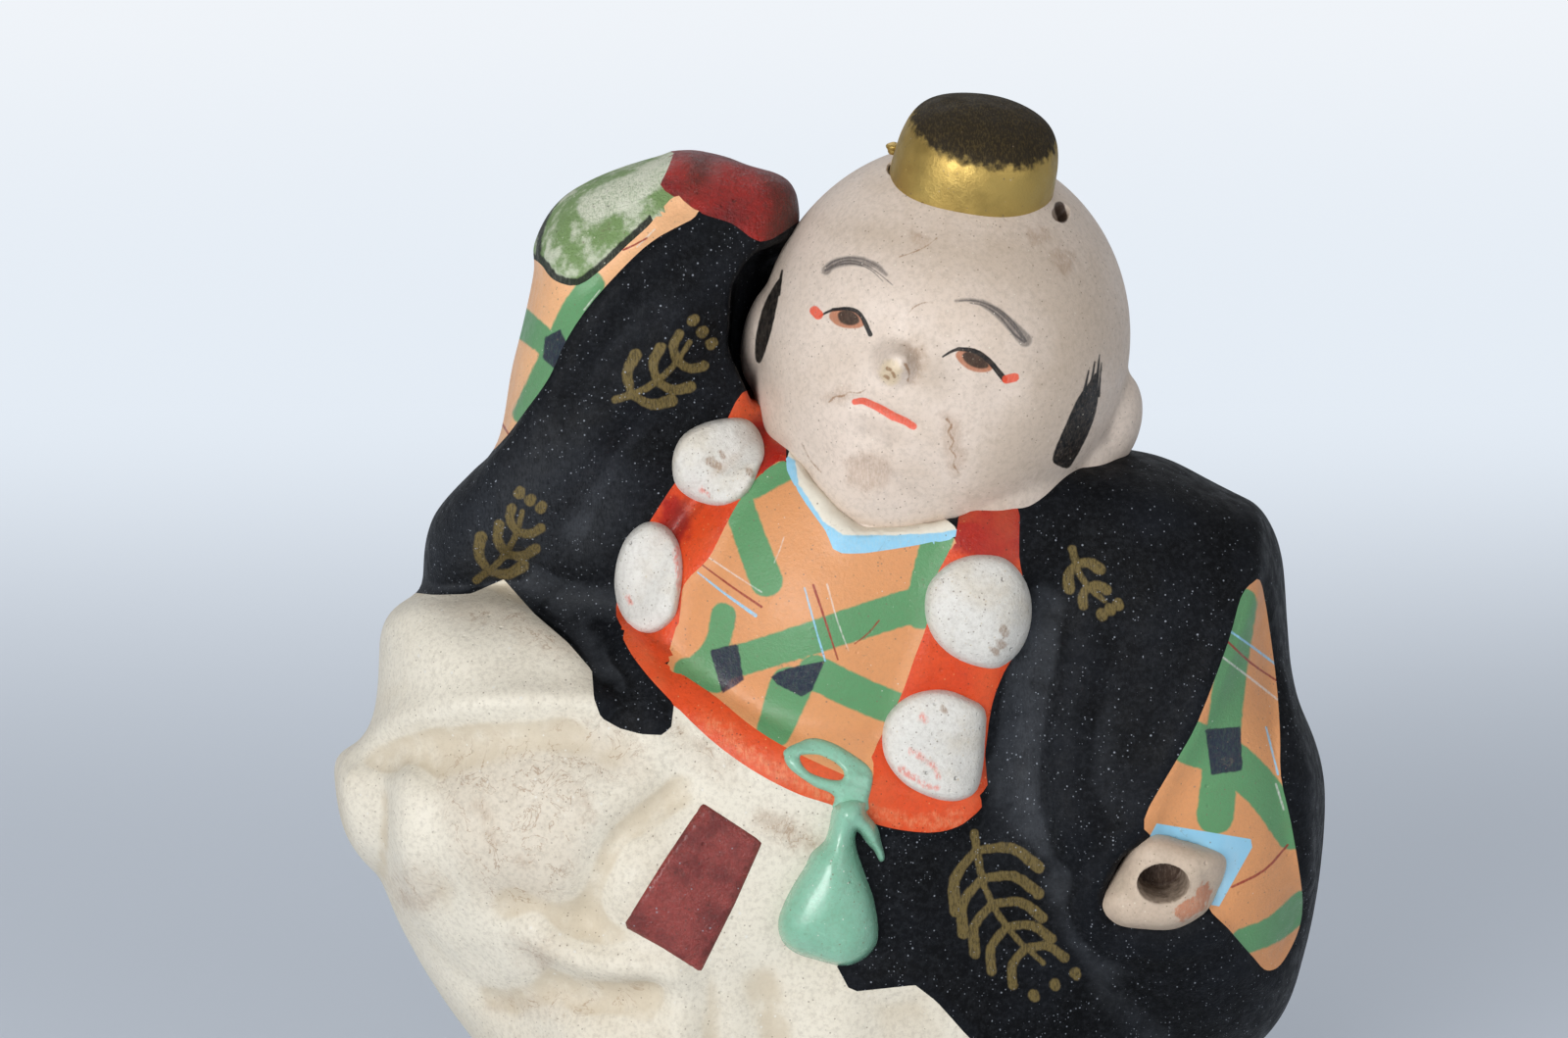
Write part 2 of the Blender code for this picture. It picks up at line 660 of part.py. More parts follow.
def thin_out(item, facets):
    """Bring a form down to about this many triangles, most where it curves most."""
    modified(item, "TRIANGULATE")
    modified(item, "DECIMATE", ratio=facets / len(item.data.polygons))


def painted(item, coat):
    """Give an object its coat of paint and round shading."""
    material = bpy.data.materials.new(item.name)
    material.use_nodes = True
    shader = material.node_tree.nodes["Principled BSDF"]
    colour = [linear(step / 255) for step in coat.colour]
    shader.inputs["Base Color"].default_value = (*colour, 1)
    shader.inputs["Roughness"].default_value = coat.roughness
    shader.inputs["Metallic"].default_value = coat.metallic
    material.diffuse_color = (*colour, 1)
    item.data.materials.clear()
    item.data.materials.append(material)
    item.data.shade_smooth()
    item.data.set_sharp_from_angle(angle=SHARP_ANGLE)
    return item


def linear(value):
    """A display colour value as the linear value that a shader takes."""
    return value / 12.92 if value <= 0.04045 else ((value + 0.055) / 1.055) ** 2.4


def tidy(item):
    """Weld slivers left by the cuts and turn the mesh to triangles."""
    shape = bmesh.new()
    shape.from_mesh(item.data)
    bmesh.ops.remove_doubles(shape, verts=shape.verts, dist=WELD)
    bmesh.ops.dissolve_degenerate(shape, dist=WELD, edges=shape.edges)
    loose = [edge for edge in shape.edges if edge.is_wire]
    bmesh.ops.delete(shape, geom=loose, context="EDGES")
    bmesh.ops.triangulate(shape, faces=shape.faces)
    shape.to_mesh(item.data)
    shape.free()


def largest_body(item):
    """Keep the largest of the separate bodies that a cut has left."""
    shape = bmesh.new()
    shape.from_mesh(item.data)
    shape.verts.ensure_lookup_table()
    unseen = set(shape.verts)
    bodies = []
    while unseen:
        seed = min(unseen, key=lambda vert: vert.index)
        unseen.discard(seed)
        body, edge = [seed], [seed]
        while edge:
            for link in edge.pop().link_edges:
                for vert in link.verts:
                    if vert in unseen:
                        unseen.discard(vert)
                        body.append(vert)
                        edge.append(vert)
        bodies.append(body)
    for body in sorted(bodies, key=len)[:-1]:
        bmesh.ops.delete(shape, geom=body, context="VERTS")
    shape.to_mesh(item.data)
    shape.free()


def finish(item, coat):
    """Last cleaning and paint of a piece."""
    tidy(item)
    largest_body(item)
    return painted(item, coat)


def body_form():
    """The whole clothed body as one modelled form, before it is parted."""
    pads = (TROUSERS_PAD, TORSO_PAD, RAISED_SLEEVE_PAD, HANGING_SLEEVE_PAD)
    form = fused("body_form", [solid_pad("pad", pad) for pad in pads], FORM_GRAIN, BODY_SMOOTHING)
    for outline_px, depth_px in SUNK_AREAS_PX:
        sink(form, outline_px, depth_px)
    model(form, ROBE_STROKES + TROUSERS_STROKES, toward_eye())
    model(form, BACK_STROKES, -toward_eye())
    modified(form, "SMOOTH", factor=0.5, iterations=2)
    thin_out(form, FORM_FACETS)
    combine(form, block("ground", -FIGURE_WIDTH, 0), "DIFFERENCE")
    return form


def block(name, bottom, top, front=-FIGURE_WIDTH, back=FIGURE_WIDTH):
    """Guide block as wide as the figure needs, between two heights and two depths."""
    shape = bmesh.new()
    bmesh.ops.create_cube(shape, size=1)
    mesh = bpy.data.meshes.new(name)
    shape.to_mesh(mesh)
    shape.free()
    size = Vector((2 * FIGURE_WIDTH, back - front, top - bottom))
    middle = Vector((0, (front + back) / 2, (bottom + top) / 2))
    mesh.transform(Matrix.LocRotScale(middle, None, size))
    return new_object(name, mesh)


def head_middle():
    """Centre of the head."""
    return place(*HEAD_PX, HEAD_DEPTH_PX * PIXEL)


def head_point(shares):
    """Point in the head's own frame, in shares of its radius."""
    return head_middle() + HEAD_ROTATION.to_matrix() @ (Vector(shares) * HEAD_RADIUS_PX * PIXEL)


def head_form():
    """The head with its ears, nose, cheeks and chin, before it is parted."""
    turn = HEAD_ROTATION.to_quaternion()
    radius = HEAD_RADIUS_PX * PIXEL
    balls = []
    for middle_shares, size_shares in HEAD_BALLS_SHARES:
        size = Vector(size_shares) * radius
        balls.append(ellipsoid("ball", head_point(middle_shares), size, turn, *SKULL_GRID))
    nose = place(*NOSE_PX, HEAD_DEPTH_PX * PIXEL - radius * math.cos(EYE_HEIGHT_ANGLE))
    balls.append(ellipsoid("nose", nose, (NOSE_SHARE * radius,) * 3, turn, *SMALL_GRID))
    form = fused("head_form", balls, HEAD_GRAIN, HEAD_SMOOTHING)
    model(form, FACE_STROKES, toward_eye())
    thin_out(form, HEAD_FACETS)
    return form


def neck_plug(head):
    """Plug of clay that carries the head on the body."""
    radius = NECK_RADIUS_PX * PIXEL
    plug = cylinder("neck_plug", neck_foot(), neck_top(), radius, radius, NECK_SIDES)
    combine(plug, grown(head, LUTE_GAP), "DIFFERENCE")
    return plug


def make_body_shells(form, head, hand):
    """Part the body into robe and trousers, front and back, and hollow it."""
    hollow = body_hollow()
    collar = collar_bore()
    for name, coat, is_robe in (("trousers", CREAM, False), ("robe", BLACK, True)):
        gap = -LUTE_GAP if is_robe else 0
        for side, near, far, cut_px in (
            ("front", -FIGURE_WIDTH, SEAM_Y - LUTE_GAP / 2, TROUSERS_CUT_PX),
            ("back", SEAM_Y + LUTE_GAP / 2, FIGURE_WIDTH, BACK_CUT_PX),
        ):
            shell = twin(form, f"{name}_{side}")
            cutter = prism(inset(cut_px, gap), NEAR_Y, FAR_Y)
            combine(shell, cutter, "DIFFERENCE" if is_robe else "INTERSECT")
            combine(shell, block("half", -FIGURE_WIDTH, 2 * FIGURE_WIDTH, near, far), "INTERSECT")
            combine(shell, hollow, "DIFFERENCE", keep=True)
            if is_robe:
                combine(shell, grown(head, LUTE_GAP), "DIFFERENCE")
                combine(shell, collar, "DIFFERENCE", keep=True)
                combine(shell, grown(hand, LUTE_GAP), "DIFFERENCE")
            finish(shell, coat)
    discard(hollow)
    discard(collar)


def body_hollow():
    """Guide for the space inside the body: its pads less the wall, and the foot opening."""
    inner = []
    for pad in (TROUSERS_PAD, TORSO_PAD, RAISED_SLEEVE_PAD, HANGING_SLEEVE_PAD):
        slim = pad._replace(
            outline_px=inset(pad.outline_px, WALL),
            front_px=pad.front_px - WALL / PIXEL,
            back_px=pad.back_px - WALL / PIXEL,
        )
        inner.append(solid_pad("inner", slim, steps=1, levels=5))
    hollow = fused("hollow", inner, HOLLOW_GRAIN, HOLLOW_SMOOTHING)
    thin_out(hollow, HOLLOW_FACETS)
    combine(hollow, block("floor", -FIGURE_WIDTH, BASE_PLATE + LUTE_GAP), "DIFFERENCE")
    combine(hollow, foot_oval("opening", -BASE_PLATE, BASE_PLATE + WALL, 0), "UNION")
    return hollow


def foot_oval(name, bottom, top, slack):
    """Upright oval block that fits the foot opening with this slack all round."""
    middle = Vector((FOOT_PX[0] * PIXEL, FOOT_PX[1] * PIXEL, 0))
    oval = cylinder(name, middle + Vector((0, 0, bottom)), middle + Vector((0, 0, top)), 1, 1, FOOT_SIDES)
    size = (FOOT_HALF_PX[0] * PIXEL - slack, FOOT_HALF_PX[1] * PIXEL - slack, 1)
    shift = Matrix.Translation(middle)
    oval.data.transform(shift @ Matrix.Diagonal((*size, 1)) @ shift.inverted())
    return oval


def collar_bore():
    """Guide for the room that the neck plug takes in the clothes."""
    radius = NECK_RADIUS_PX * PIXEL + LUTE_GAP
    foot = neck_foot() - Vector((0, 0, LUTE_GAP))
    return cylinder("collar_bore", foot, neck_top(), radius, radius, NECK_SIDES)


def neck_top():
    """Upper end of the neck plug, before the head's seat is cut in it."""
    middle = place(*NECK_PX, NECK_DEPTH_PX * PIXEL)
    return Vector((middle.x, middle.y, head_middle().z))


def neck_foot():
    """Lower end of the neck plug."""
    return neck_top() - Vector((0, 0, (HEAD_RADIUS_PX + NECK_LENGTH_PX) * PIXEL))


def make_slabs(form, head, hand):
    """Lay the thin clay pieces on the form."""
    low = grown(form, LUTE_GAP)
    high = grown(form, LUTE_GAP + SLAB)
    head_room = grown(head, LUTE_GAP)
    hand_room = grown(hand, LUTE_GAP)
    neck_room = collar_bore()
    for name, outline_px, far, coat in (
        ("chest_panel", CHEST_PX, SEAM_Y, PEACH),
        ("collar_edge", COLLAR_PX, SEAM_Y, BLUE),
        ("strap_left", LEFT_STRAP_PX, SEAM_Y, ORANGE),
        ("strap_right", RIGHT_STRAP_PX, SEAM_Y, ORANGE),
        ("belt_band", BAND_PX, SEAM_Y, ORANGE),
        ("sash_tab", TAB_PX, SEAM_Y, DARK_RED),
        ("raised_sleeve_lining", SLEEVE_LINING_PX, SIDE_LINING_PX * PIXEL, PEACH),
        ("sleeve_leaf_patch", LEAF_PATCH_PX, SIDE_LINING_PX * PIXEL, LEAF_GREEN),
        ("sleeve_top_cuff", TOP_CUFF_PX, SIDE_LINING_PX * PIXEL, CRIMSON),
        ("hanging_sleeve_lining", HANGING_LINING_PX, SEAM_Y, PEACH),
        ("hand_cuff", HAND_CUFF_PX, SEAM_Y, BLUE),
    ):
        slab = prism(inset(outline_px, LUTE_GAP / 2), NEAR_Y, far)
        slab.name = name
        combine(slab, high, "INTERSECT", keep=True, folded=True)
        combine(slab, low, "DIFFERENCE", keep=True, folded=True)
        for room in (head_room, hand_room, neck_room):
            combine(slab, room, "DIFFERENCE", keep=True)
        finish(slab, coat)
    for guide in (low, high, head_room, hand_room, neck_room):
        discard(guide)


def make_pompoms(form, head):
    """Four domes luted on the straps."""
    seat = grown(form, 2 * LUTE_GAP + SLAB)
    for name, (across, down), (half_across, half_down) in POMPOMS_PX:
        middle = spot_on(seat, across, down)
        rise = POMPOM_RISE_SHARE * (half_across + half_down) * PIXEL
        size = (half_across * PIXEL, rise, half_down * PIXEL)
        turn = Euler((-EYE_HEIGHT_ANGLE, 0, 0)).to_quaternion()
        dome = ellipsoid(name, middle, size, turn, *POMPOM_GRID)
        combine(dome, seat, "DIFFERENCE", keep=True, folded=True)
        combine(dome, grown(head, LUTE_GAP), "DIFFERENCE")
        finish(dome, WHITE)
    discard(seat)


def spot_on(item, across_px, down_px):
    """Point of a form's skin that the photograph shows at a pixel."""
    near = place(across_px, down_px, NEAR_Y)
    run = (place(across_px, down_px, FAR_Y) - near).normalized()
    found, point, _, _ = item.ray_cast(near, run)
    return point if found else place(across_px, down_px, SEAM_Y)


def make_tassel(form):
    """Cord loop on the belt, and the tassel that hangs from it."""
    low = grown(form, 2 * LUTE_GAP + SLAB)
    high = grown(form, 2 * LUTE_GAP + 2 * SLAB)
    loop = prism(smooth_loop(TASSEL_LOOP_OUTER_PX, 2), NEAR_Y, SEAM_Y)
    loop.name = "tassel_loop"
    combine(loop, prism(smooth_loop(TASSEL_LOOP_EYE_PX, 2), 2 * NEAR_Y, 2 * FAR_Y), "DIFFERENCE")
    combine(loop, high, "INTERSECT", folded=True)
    combine(loop, low, "DIFFERENCE", folded=True)
    finish(loop, PALE_GREEN)
    middle = smooth_loop(TASSEL_PAD.outline_px, 1).mean(axis=0)
    seat_px = spot_on(form, *middle).y / PIXEL
    tassel = solid_pad("tassel", TASSEL_PAD._replace(middle_px=seat_px), steps=2, levels=5)
    combine(tassel, grown(form, LUTE_GAP), "DIFFERENCE")
    finish(tassel, PALE_GREEN)


def make_hand(hand):
    """Fist with the hole that once held a staff."""
    fist = twin(hand, "staff_hand")
    mouth = place(*STAFF_HOLE_PX, (HAND_PAD.middle_px - HAND_PAD.front_px) * PIXEL)
    bottom = mouth + Vector((0, STAFF_HOLE_DEPTH, 0))
    start = mouth - Vector((0, STAFF_HOLE_DEPTH, 0))
    bore = cylinder("bore", start, bottom, STAFF_HOLE_RADIUS, STAFF_HOLE_RADIUS, BORE_SIDES)
    combine(fist, bore, "DIFFERENCE")
    finish(fist, FLESH)


def make_head(head, neck):
    """Face and back of the head, hollow, and the neck plug."""
    turn = HEAD_ROTATION.to_quaternion()
    radius = HEAD_RADIUS_PX * PIXEL - HEAD_WALL
    hollow = ellipsoid("hollow", head_middle(), (radius,) * 3, turn, *SMALL_GRID)
    holes = [tie_hole(head, spot) for spot in TIE_HOLES_PX]
    for name, sign in (("head_face", -1), ("head_back", 1)):
        shell = twin(head, name)
        combine(shell, head_half(sign), "INTERSECT")
        combine(shell, hollow, "DIFFERENCE", keep=True)
        for hole in holes:
            combine(shell, hole, "DIFFERENCE", keep=True)
        finish(shell, FLESH)
    for guide in (hollow, *holes):
        discard(guide)
    finish(neck, FLESH)


def head_half(sign):
    """Guide block over the face, or over the back of the head."""
    shape = bmesh.new()
    bmesh.ops.create_cube(shape, size=1)
    mesh = bpy.data.meshes.new("half")
    shape.to_mesh(mesh)
    shape.free()
    reach = 2 * HEAD_RADIUS_PX * PIXEL
    turn = HEAD_ROTATION.to_matrix()
    middle = head_middle() + turn @ Vector((0, HEAD_SEAM_PX * PIXEL + sign * (reach + LUTE_GAP / 2), 0))
    mesh.transform(Matrix.LocRotScale(middle, HEAD_ROTATION.to_quaternion(), (2 * reach,) * 3))
    return new_object("half", mesh)


def beside_cap(head, turn, out_px):
    """Point of the head's skin at this turn round the cap, this far out from its rim."""
    across = (CAP_RADIUS_PX + out_px) * PIXEL
    high = 2 * HEAD_RADIUS_PX * PIXEL
    tilt = HEAD_ROTATION.to_matrix()
    start = head_middle() + tilt @ Vector((across * math.cos(turn), across * math.sin(turn), high))
    _, point, _, _ = head.ray_cast(start, tilt @ Vector((0, 0, -1)))
    return point


def tie_hole(head, spot):
    """Guide for a blind hole beside the cap."""
    mouth = beside_cap(head, *spot)
    inward = (head_middle() - mouth).normalized()
    start, end = mouth - inward * TIE_HOLE_DEPTH, mouth + inward * TIE_HOLE_DEPTH
    return cylinder("tie_hole", start, end, TIE_HOLE_RADIUS, TIE_HOLE_RADIUS, TIE_HOLE_SIDES)


def make_cap(head):
    """Gilt cap on the crown, and the stub of its cord."""
    points = []
    for across, up in CAP_PROFILE_SHARES:
        radius = across * CAP_RADIUS_PX * PIXEL
        height = up * CAP_HEIGHT_PX * PIXEL
        for step in range(CAP_SIDES):
            angle = 2 * math.pi * step / CAP_SIDES
            points.append(Vector((radius * math.cos(angle), radius * math.sin(angle), height)))
    faces = ring_faces(len(CAP_PROFILE_SHARES) - 1, CAP_SIDES)
    last = len(points) - CAP_SIDES
    faces += [tuple(range(CAP_SIDES)), tuple(range(last, len(points)))]
    foot = head_point((0, 0, CAP_FOOT_SHARE))
    cap = mesh_from("cap", [foot + HEAD_ROTATION.to_matrix() @ point for point in points], faces)
    combine(cap, grown(head, LUTE_GAP), "DIFFERENCE")
    finish(cap, GOLD)
    seat = beside_cap(head, *STUB_PX)
    radius = STUB_RADIUS_PX * PIXEL
    size = (radius, radius, STUB_STRETCH_SHARE * radius)
    stub = ellipsoid("cap_cord_stub", seat, size, None, *STUB_GRID)
    combine(stub, grown(head, LUTE_GAP), "DIFFERENCE")
    combine(stub, grown(cap, LUTE_GAP), "DIFFERENCE")
    finish(stub, GOLD)


def make_base_plate():
    """Plate that closes the hollow below, with its vent hole."""
    plate = foot_oval("base_plate", 0, BASE_PLATE, BASE_SLACK)
    vent = Vector((VENT_PX * PIXEL, 0, 0))
    rise = Vector((0, 0, 2 * BASE_PLATE))
    drill = cylinder("vent", vent - rise, vent + rise, VENT_RADIUS, VENT_RADIUS, VENT_SIDES)
    combine(plate, drill, "DIFFERENCE")
    finish(plate, TERRACOTTA)


def main():
    """Build every piece of the doll."""
    clear_scene()
    form = body_form()
    head = head_form()
    hand = solid_pad("hand_form", HAND_PAD, steps=2, levels=4)
    neck = neck_plug(head)
    make_body_shells(form, head, hand)
    make_slabs(form, head, hand)
    make_pompoms(form, head)
    make_tassel(form)
    make_hand(hand)
    make_head(head, neck)
    make_cap(head)
    make_base_plate()
    for guide in (form, head, hand):
        discard(guide)


if __name__ == "__main__":
    main()
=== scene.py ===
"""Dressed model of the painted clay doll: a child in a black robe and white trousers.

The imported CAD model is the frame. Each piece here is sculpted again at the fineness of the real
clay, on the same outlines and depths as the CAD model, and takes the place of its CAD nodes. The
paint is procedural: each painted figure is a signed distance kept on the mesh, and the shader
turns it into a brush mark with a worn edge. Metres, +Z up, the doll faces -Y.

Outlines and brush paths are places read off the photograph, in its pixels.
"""

import logging
import math
from dataclasses import dataclass, field, replace
from enum import Enum
from functools import partial
from typing import Callable

import bmesh
import bpy
import numpy as np
from mathutils import Euler, Matrix, Vector


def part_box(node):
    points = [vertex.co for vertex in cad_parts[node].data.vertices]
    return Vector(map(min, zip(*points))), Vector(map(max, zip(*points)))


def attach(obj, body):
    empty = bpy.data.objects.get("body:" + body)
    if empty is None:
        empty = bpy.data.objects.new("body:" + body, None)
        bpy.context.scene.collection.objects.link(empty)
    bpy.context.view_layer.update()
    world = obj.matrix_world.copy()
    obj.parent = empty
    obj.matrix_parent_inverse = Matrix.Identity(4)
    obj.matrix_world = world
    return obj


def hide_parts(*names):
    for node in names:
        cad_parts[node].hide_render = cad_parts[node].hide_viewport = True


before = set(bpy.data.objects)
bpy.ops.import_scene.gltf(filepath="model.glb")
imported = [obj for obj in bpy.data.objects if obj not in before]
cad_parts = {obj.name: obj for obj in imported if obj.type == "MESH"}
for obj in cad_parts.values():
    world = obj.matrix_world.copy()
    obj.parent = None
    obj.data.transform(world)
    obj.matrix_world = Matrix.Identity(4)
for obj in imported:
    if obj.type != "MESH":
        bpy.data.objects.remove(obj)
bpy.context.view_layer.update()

LOG = logging.getLogger("doll")
MM = 0.001
Array = np.ndarray
Path = tuple[tuple[float, float], ...]


@dataclass(frozen=True)
class PhotoView:
    """Viewpoint of the photograph, which ties its pixels to points of the doll."""

    width_px: float = 1600.0
    height_px: float = 1059.0
    pixel: float = 118 * MM / 1003
    distance_px: float = 4445.0
    tilt: float = math.radians(14)
    aim_x_px: float = -90.0
    aim_z_px: float = 719.0
    sensor: float = 36 * MM

    @property
    def distance(self) -> float:
        """From the aim to the eye."""
        return self.distance_px * self.pixel

    @property
    def toward_eye(self) -> Array:
        """Unit vector from the doll to the eye."""
        return np.array((0.0, -math.cos(self.tilt), math.sin(self.tilt)))

    def place(self, spots: Array, y: Array) -> Array:
        """Points at depth y that show at these pixels.

        Args:
            spots: pixels, one row each.
            y: depth of each point, or one depth for all.

        Returns:
            The points, one row each.
        """
        spots = np.atleast_2d(np.asarray(spots, dtype=float))
        across = (spots[:, 0] - self.width_px / 2) / self.distance_px
        up = (self.height_px / 2 - spots[:, 1]) / self.distance_px
        sine, cosine = math.sin(self.tilt), math.cos(self.tilt)
        depth = np.broadcast_to(np.asarray(y, dtype=float), across.shape)
        rise = (up * (depth * cosine + self.distance) - depth * sine) / (cosine + up * sine)
        reach = self.distance + depth * cosine - rise * sine
        x = self.aim_x_px * self.pixel + across * reach
        return np.stack((x, depth, self.aim_z_px * self.pixel + rise), axis=1)

    def seen(self, points: Array) -> Array:
        """Pixels at which these points show.

        Args:
            points: points of the doll, one row each.

        Returns:
            Pixels across and down, one row each.
        """
        sine, cosine = math.sin(self.tilt), math.cos(self.tilt)
        rise = points[:, 2] - self.aim_z_px * self.pixel
        reach = self.distance + points[:, 1] * cosine - rise * sine
        scale = self.distance_px / reach
        across = self.width_px / 2 + (points[:, 0] - self.aim_x_px * self.pixel) * scale
        down = self.height_px / 2 - (points[:, 1] * sine + rise * cosine) * scale
        return np.stack((across, down), axis=1)

    def add_camera(self) -> None:
        """Put the camera where the photograph was taken."""
        lens = bpy.data.cameras.new("camera")
        lens.sensor_width = self.sensor / MM
        lens.lens = self.distance_px * lens.sensor_width / self.width_px
        lens.clip_start, lens.clip_end = 10 * MM, 20.0
        camera = bpy.data.objects.new("camera", lens)
        bpy.context.scene.collection.objects.link(camera)
        aim = Vector((self.aim_x_px * self.pixel, 0, self.aim_z_px * self.pixel))
        camera.location = aim + Vector(self.toward_eye) * self.distance
        camera.rotation_euler = (math.pi / 2 - self.tilt, 0, 0)
        bpy.context.scene.camera = camera


VIEW = PhotoView()
# Value of a field where its mark is far away
AWAY_PX = -60.0
# How far round a mark its field is worked out
FIELD_REACH_PX = 30
# Depth behind which the body is painted plain
PLAIN_DEPTH_PX = 34
# Smoothing steps between the knots of a painted curve
CURVE_STEPS = 3
# Height over the surroundings that counts as one in a relief field
RELIEF_HEIGHT = 0.5 * MM


def path_distance(spots: Array, path: Path, widths: tuple[float, float] | None = None) -> Array:
    """Signed distance to a brush path, over zero on the mark.

    Args:
        spots: pixels, one row each.
        path: knots of the path.
        widths: width of the mark at its start and its end, or None for the plain distance.

    Returns:
        Pixels from each spot to the edge of the mark, or to the path's middle line.
    """
    knots = np.array(path, dtype=float)
    runs = np.linalg.norm(np.diff(knots, axis=0), axis=1)
    total, gone = max(runs.sum(), 1e-9), 0.0
    best = np.full(len(spots), -1e9)
    for start, end, run in zip(knots, knots[1:], runs):
        step = end - start
        along = np.clip((spots - start) @ step / max(step @ step, 1e-12), 0, 1)
        away = np.linalg.norm(spots - start - along[:, None] * step, axis=1)
        half = 0.0
        if widths:
            half = (widths[0] + (widths[1] - widths[0]) * (gone + along * run) / total) / 2
        best = np.maximum(best, half - away)
        gone += run
    return best


def smooth_path(path: Path, steps: int = 4, closed: bool = False) -> Array:
    """Catmull-Rom curve through the knots.

    Args:
        path: knots of the curve.
        steps: places to each span.
        closed: whether it runs back to its start.

    Returns:
        Places on the curve, one row each.
    """
    knots = np.array(path, dtype=float)
    if closed:
        ring = np.vstack((knots[-1], knots, knots[:2]))
    else:
        ring = np.vstack((2 * knots[0] - knots[1], knots, 2 * knots[-1] - knots[-2]))
    a, b, c, d = ring[:-3], ring[1:-2], ring[2:-1], ring[3:]
    rows = []
    for step in range(steps):
        t = step / steps
        rows.append(
            0.5 * (2 * b + (c - a) * t + (2 * a - 5 * b + 4 * c - d) * t**2
                   + (3 * b - a - 3 * c + d) * t**3)
        )
    curve = np.stack(rows, axis=1).reshape(-1, knots.shape[1])
    return curve if closed else np.vstack((curve, knots[-1]))


def outline_distance(spots: Array, outline: Array) -> Array:
    """Signed distance to a closed outline, over zero inside it.

    Args:
        spots: pixels, one row each.
        outline: corners of the outline.

    Returns:
        Pixels from each spot to the outline.
    """
    knots = np.asarray(outline, dtype=float)
    result = np.zeros(len(spots), dtype=bool)
    for start, end in zip(knots, np.roll(knots, -1, axis=0)):
        crosses = (start[1] > spots[:, 1]) != (end[1] > spots[:, 1])
        rise = end[1] - start[1] if end[1] != start[1] else 1.0
        reach = start[0] + (spots[:, 1] - start[1]) * (end[0] - start[0]) / rise
        result ^= crosses & (spots[:, 0] < reach)
    away = -path_distance(spots, np.vstack((knots, knots[:1])))
    return np.where(result, away, -away)


def ramp(values: Array, low: float, high: float) -> Array:
    """Smooth step from 0 at low to 1 at high."""
    share = np.clip((values - low) / (high - low), 0, 1)
    return share * share * (3 - 2 * share)


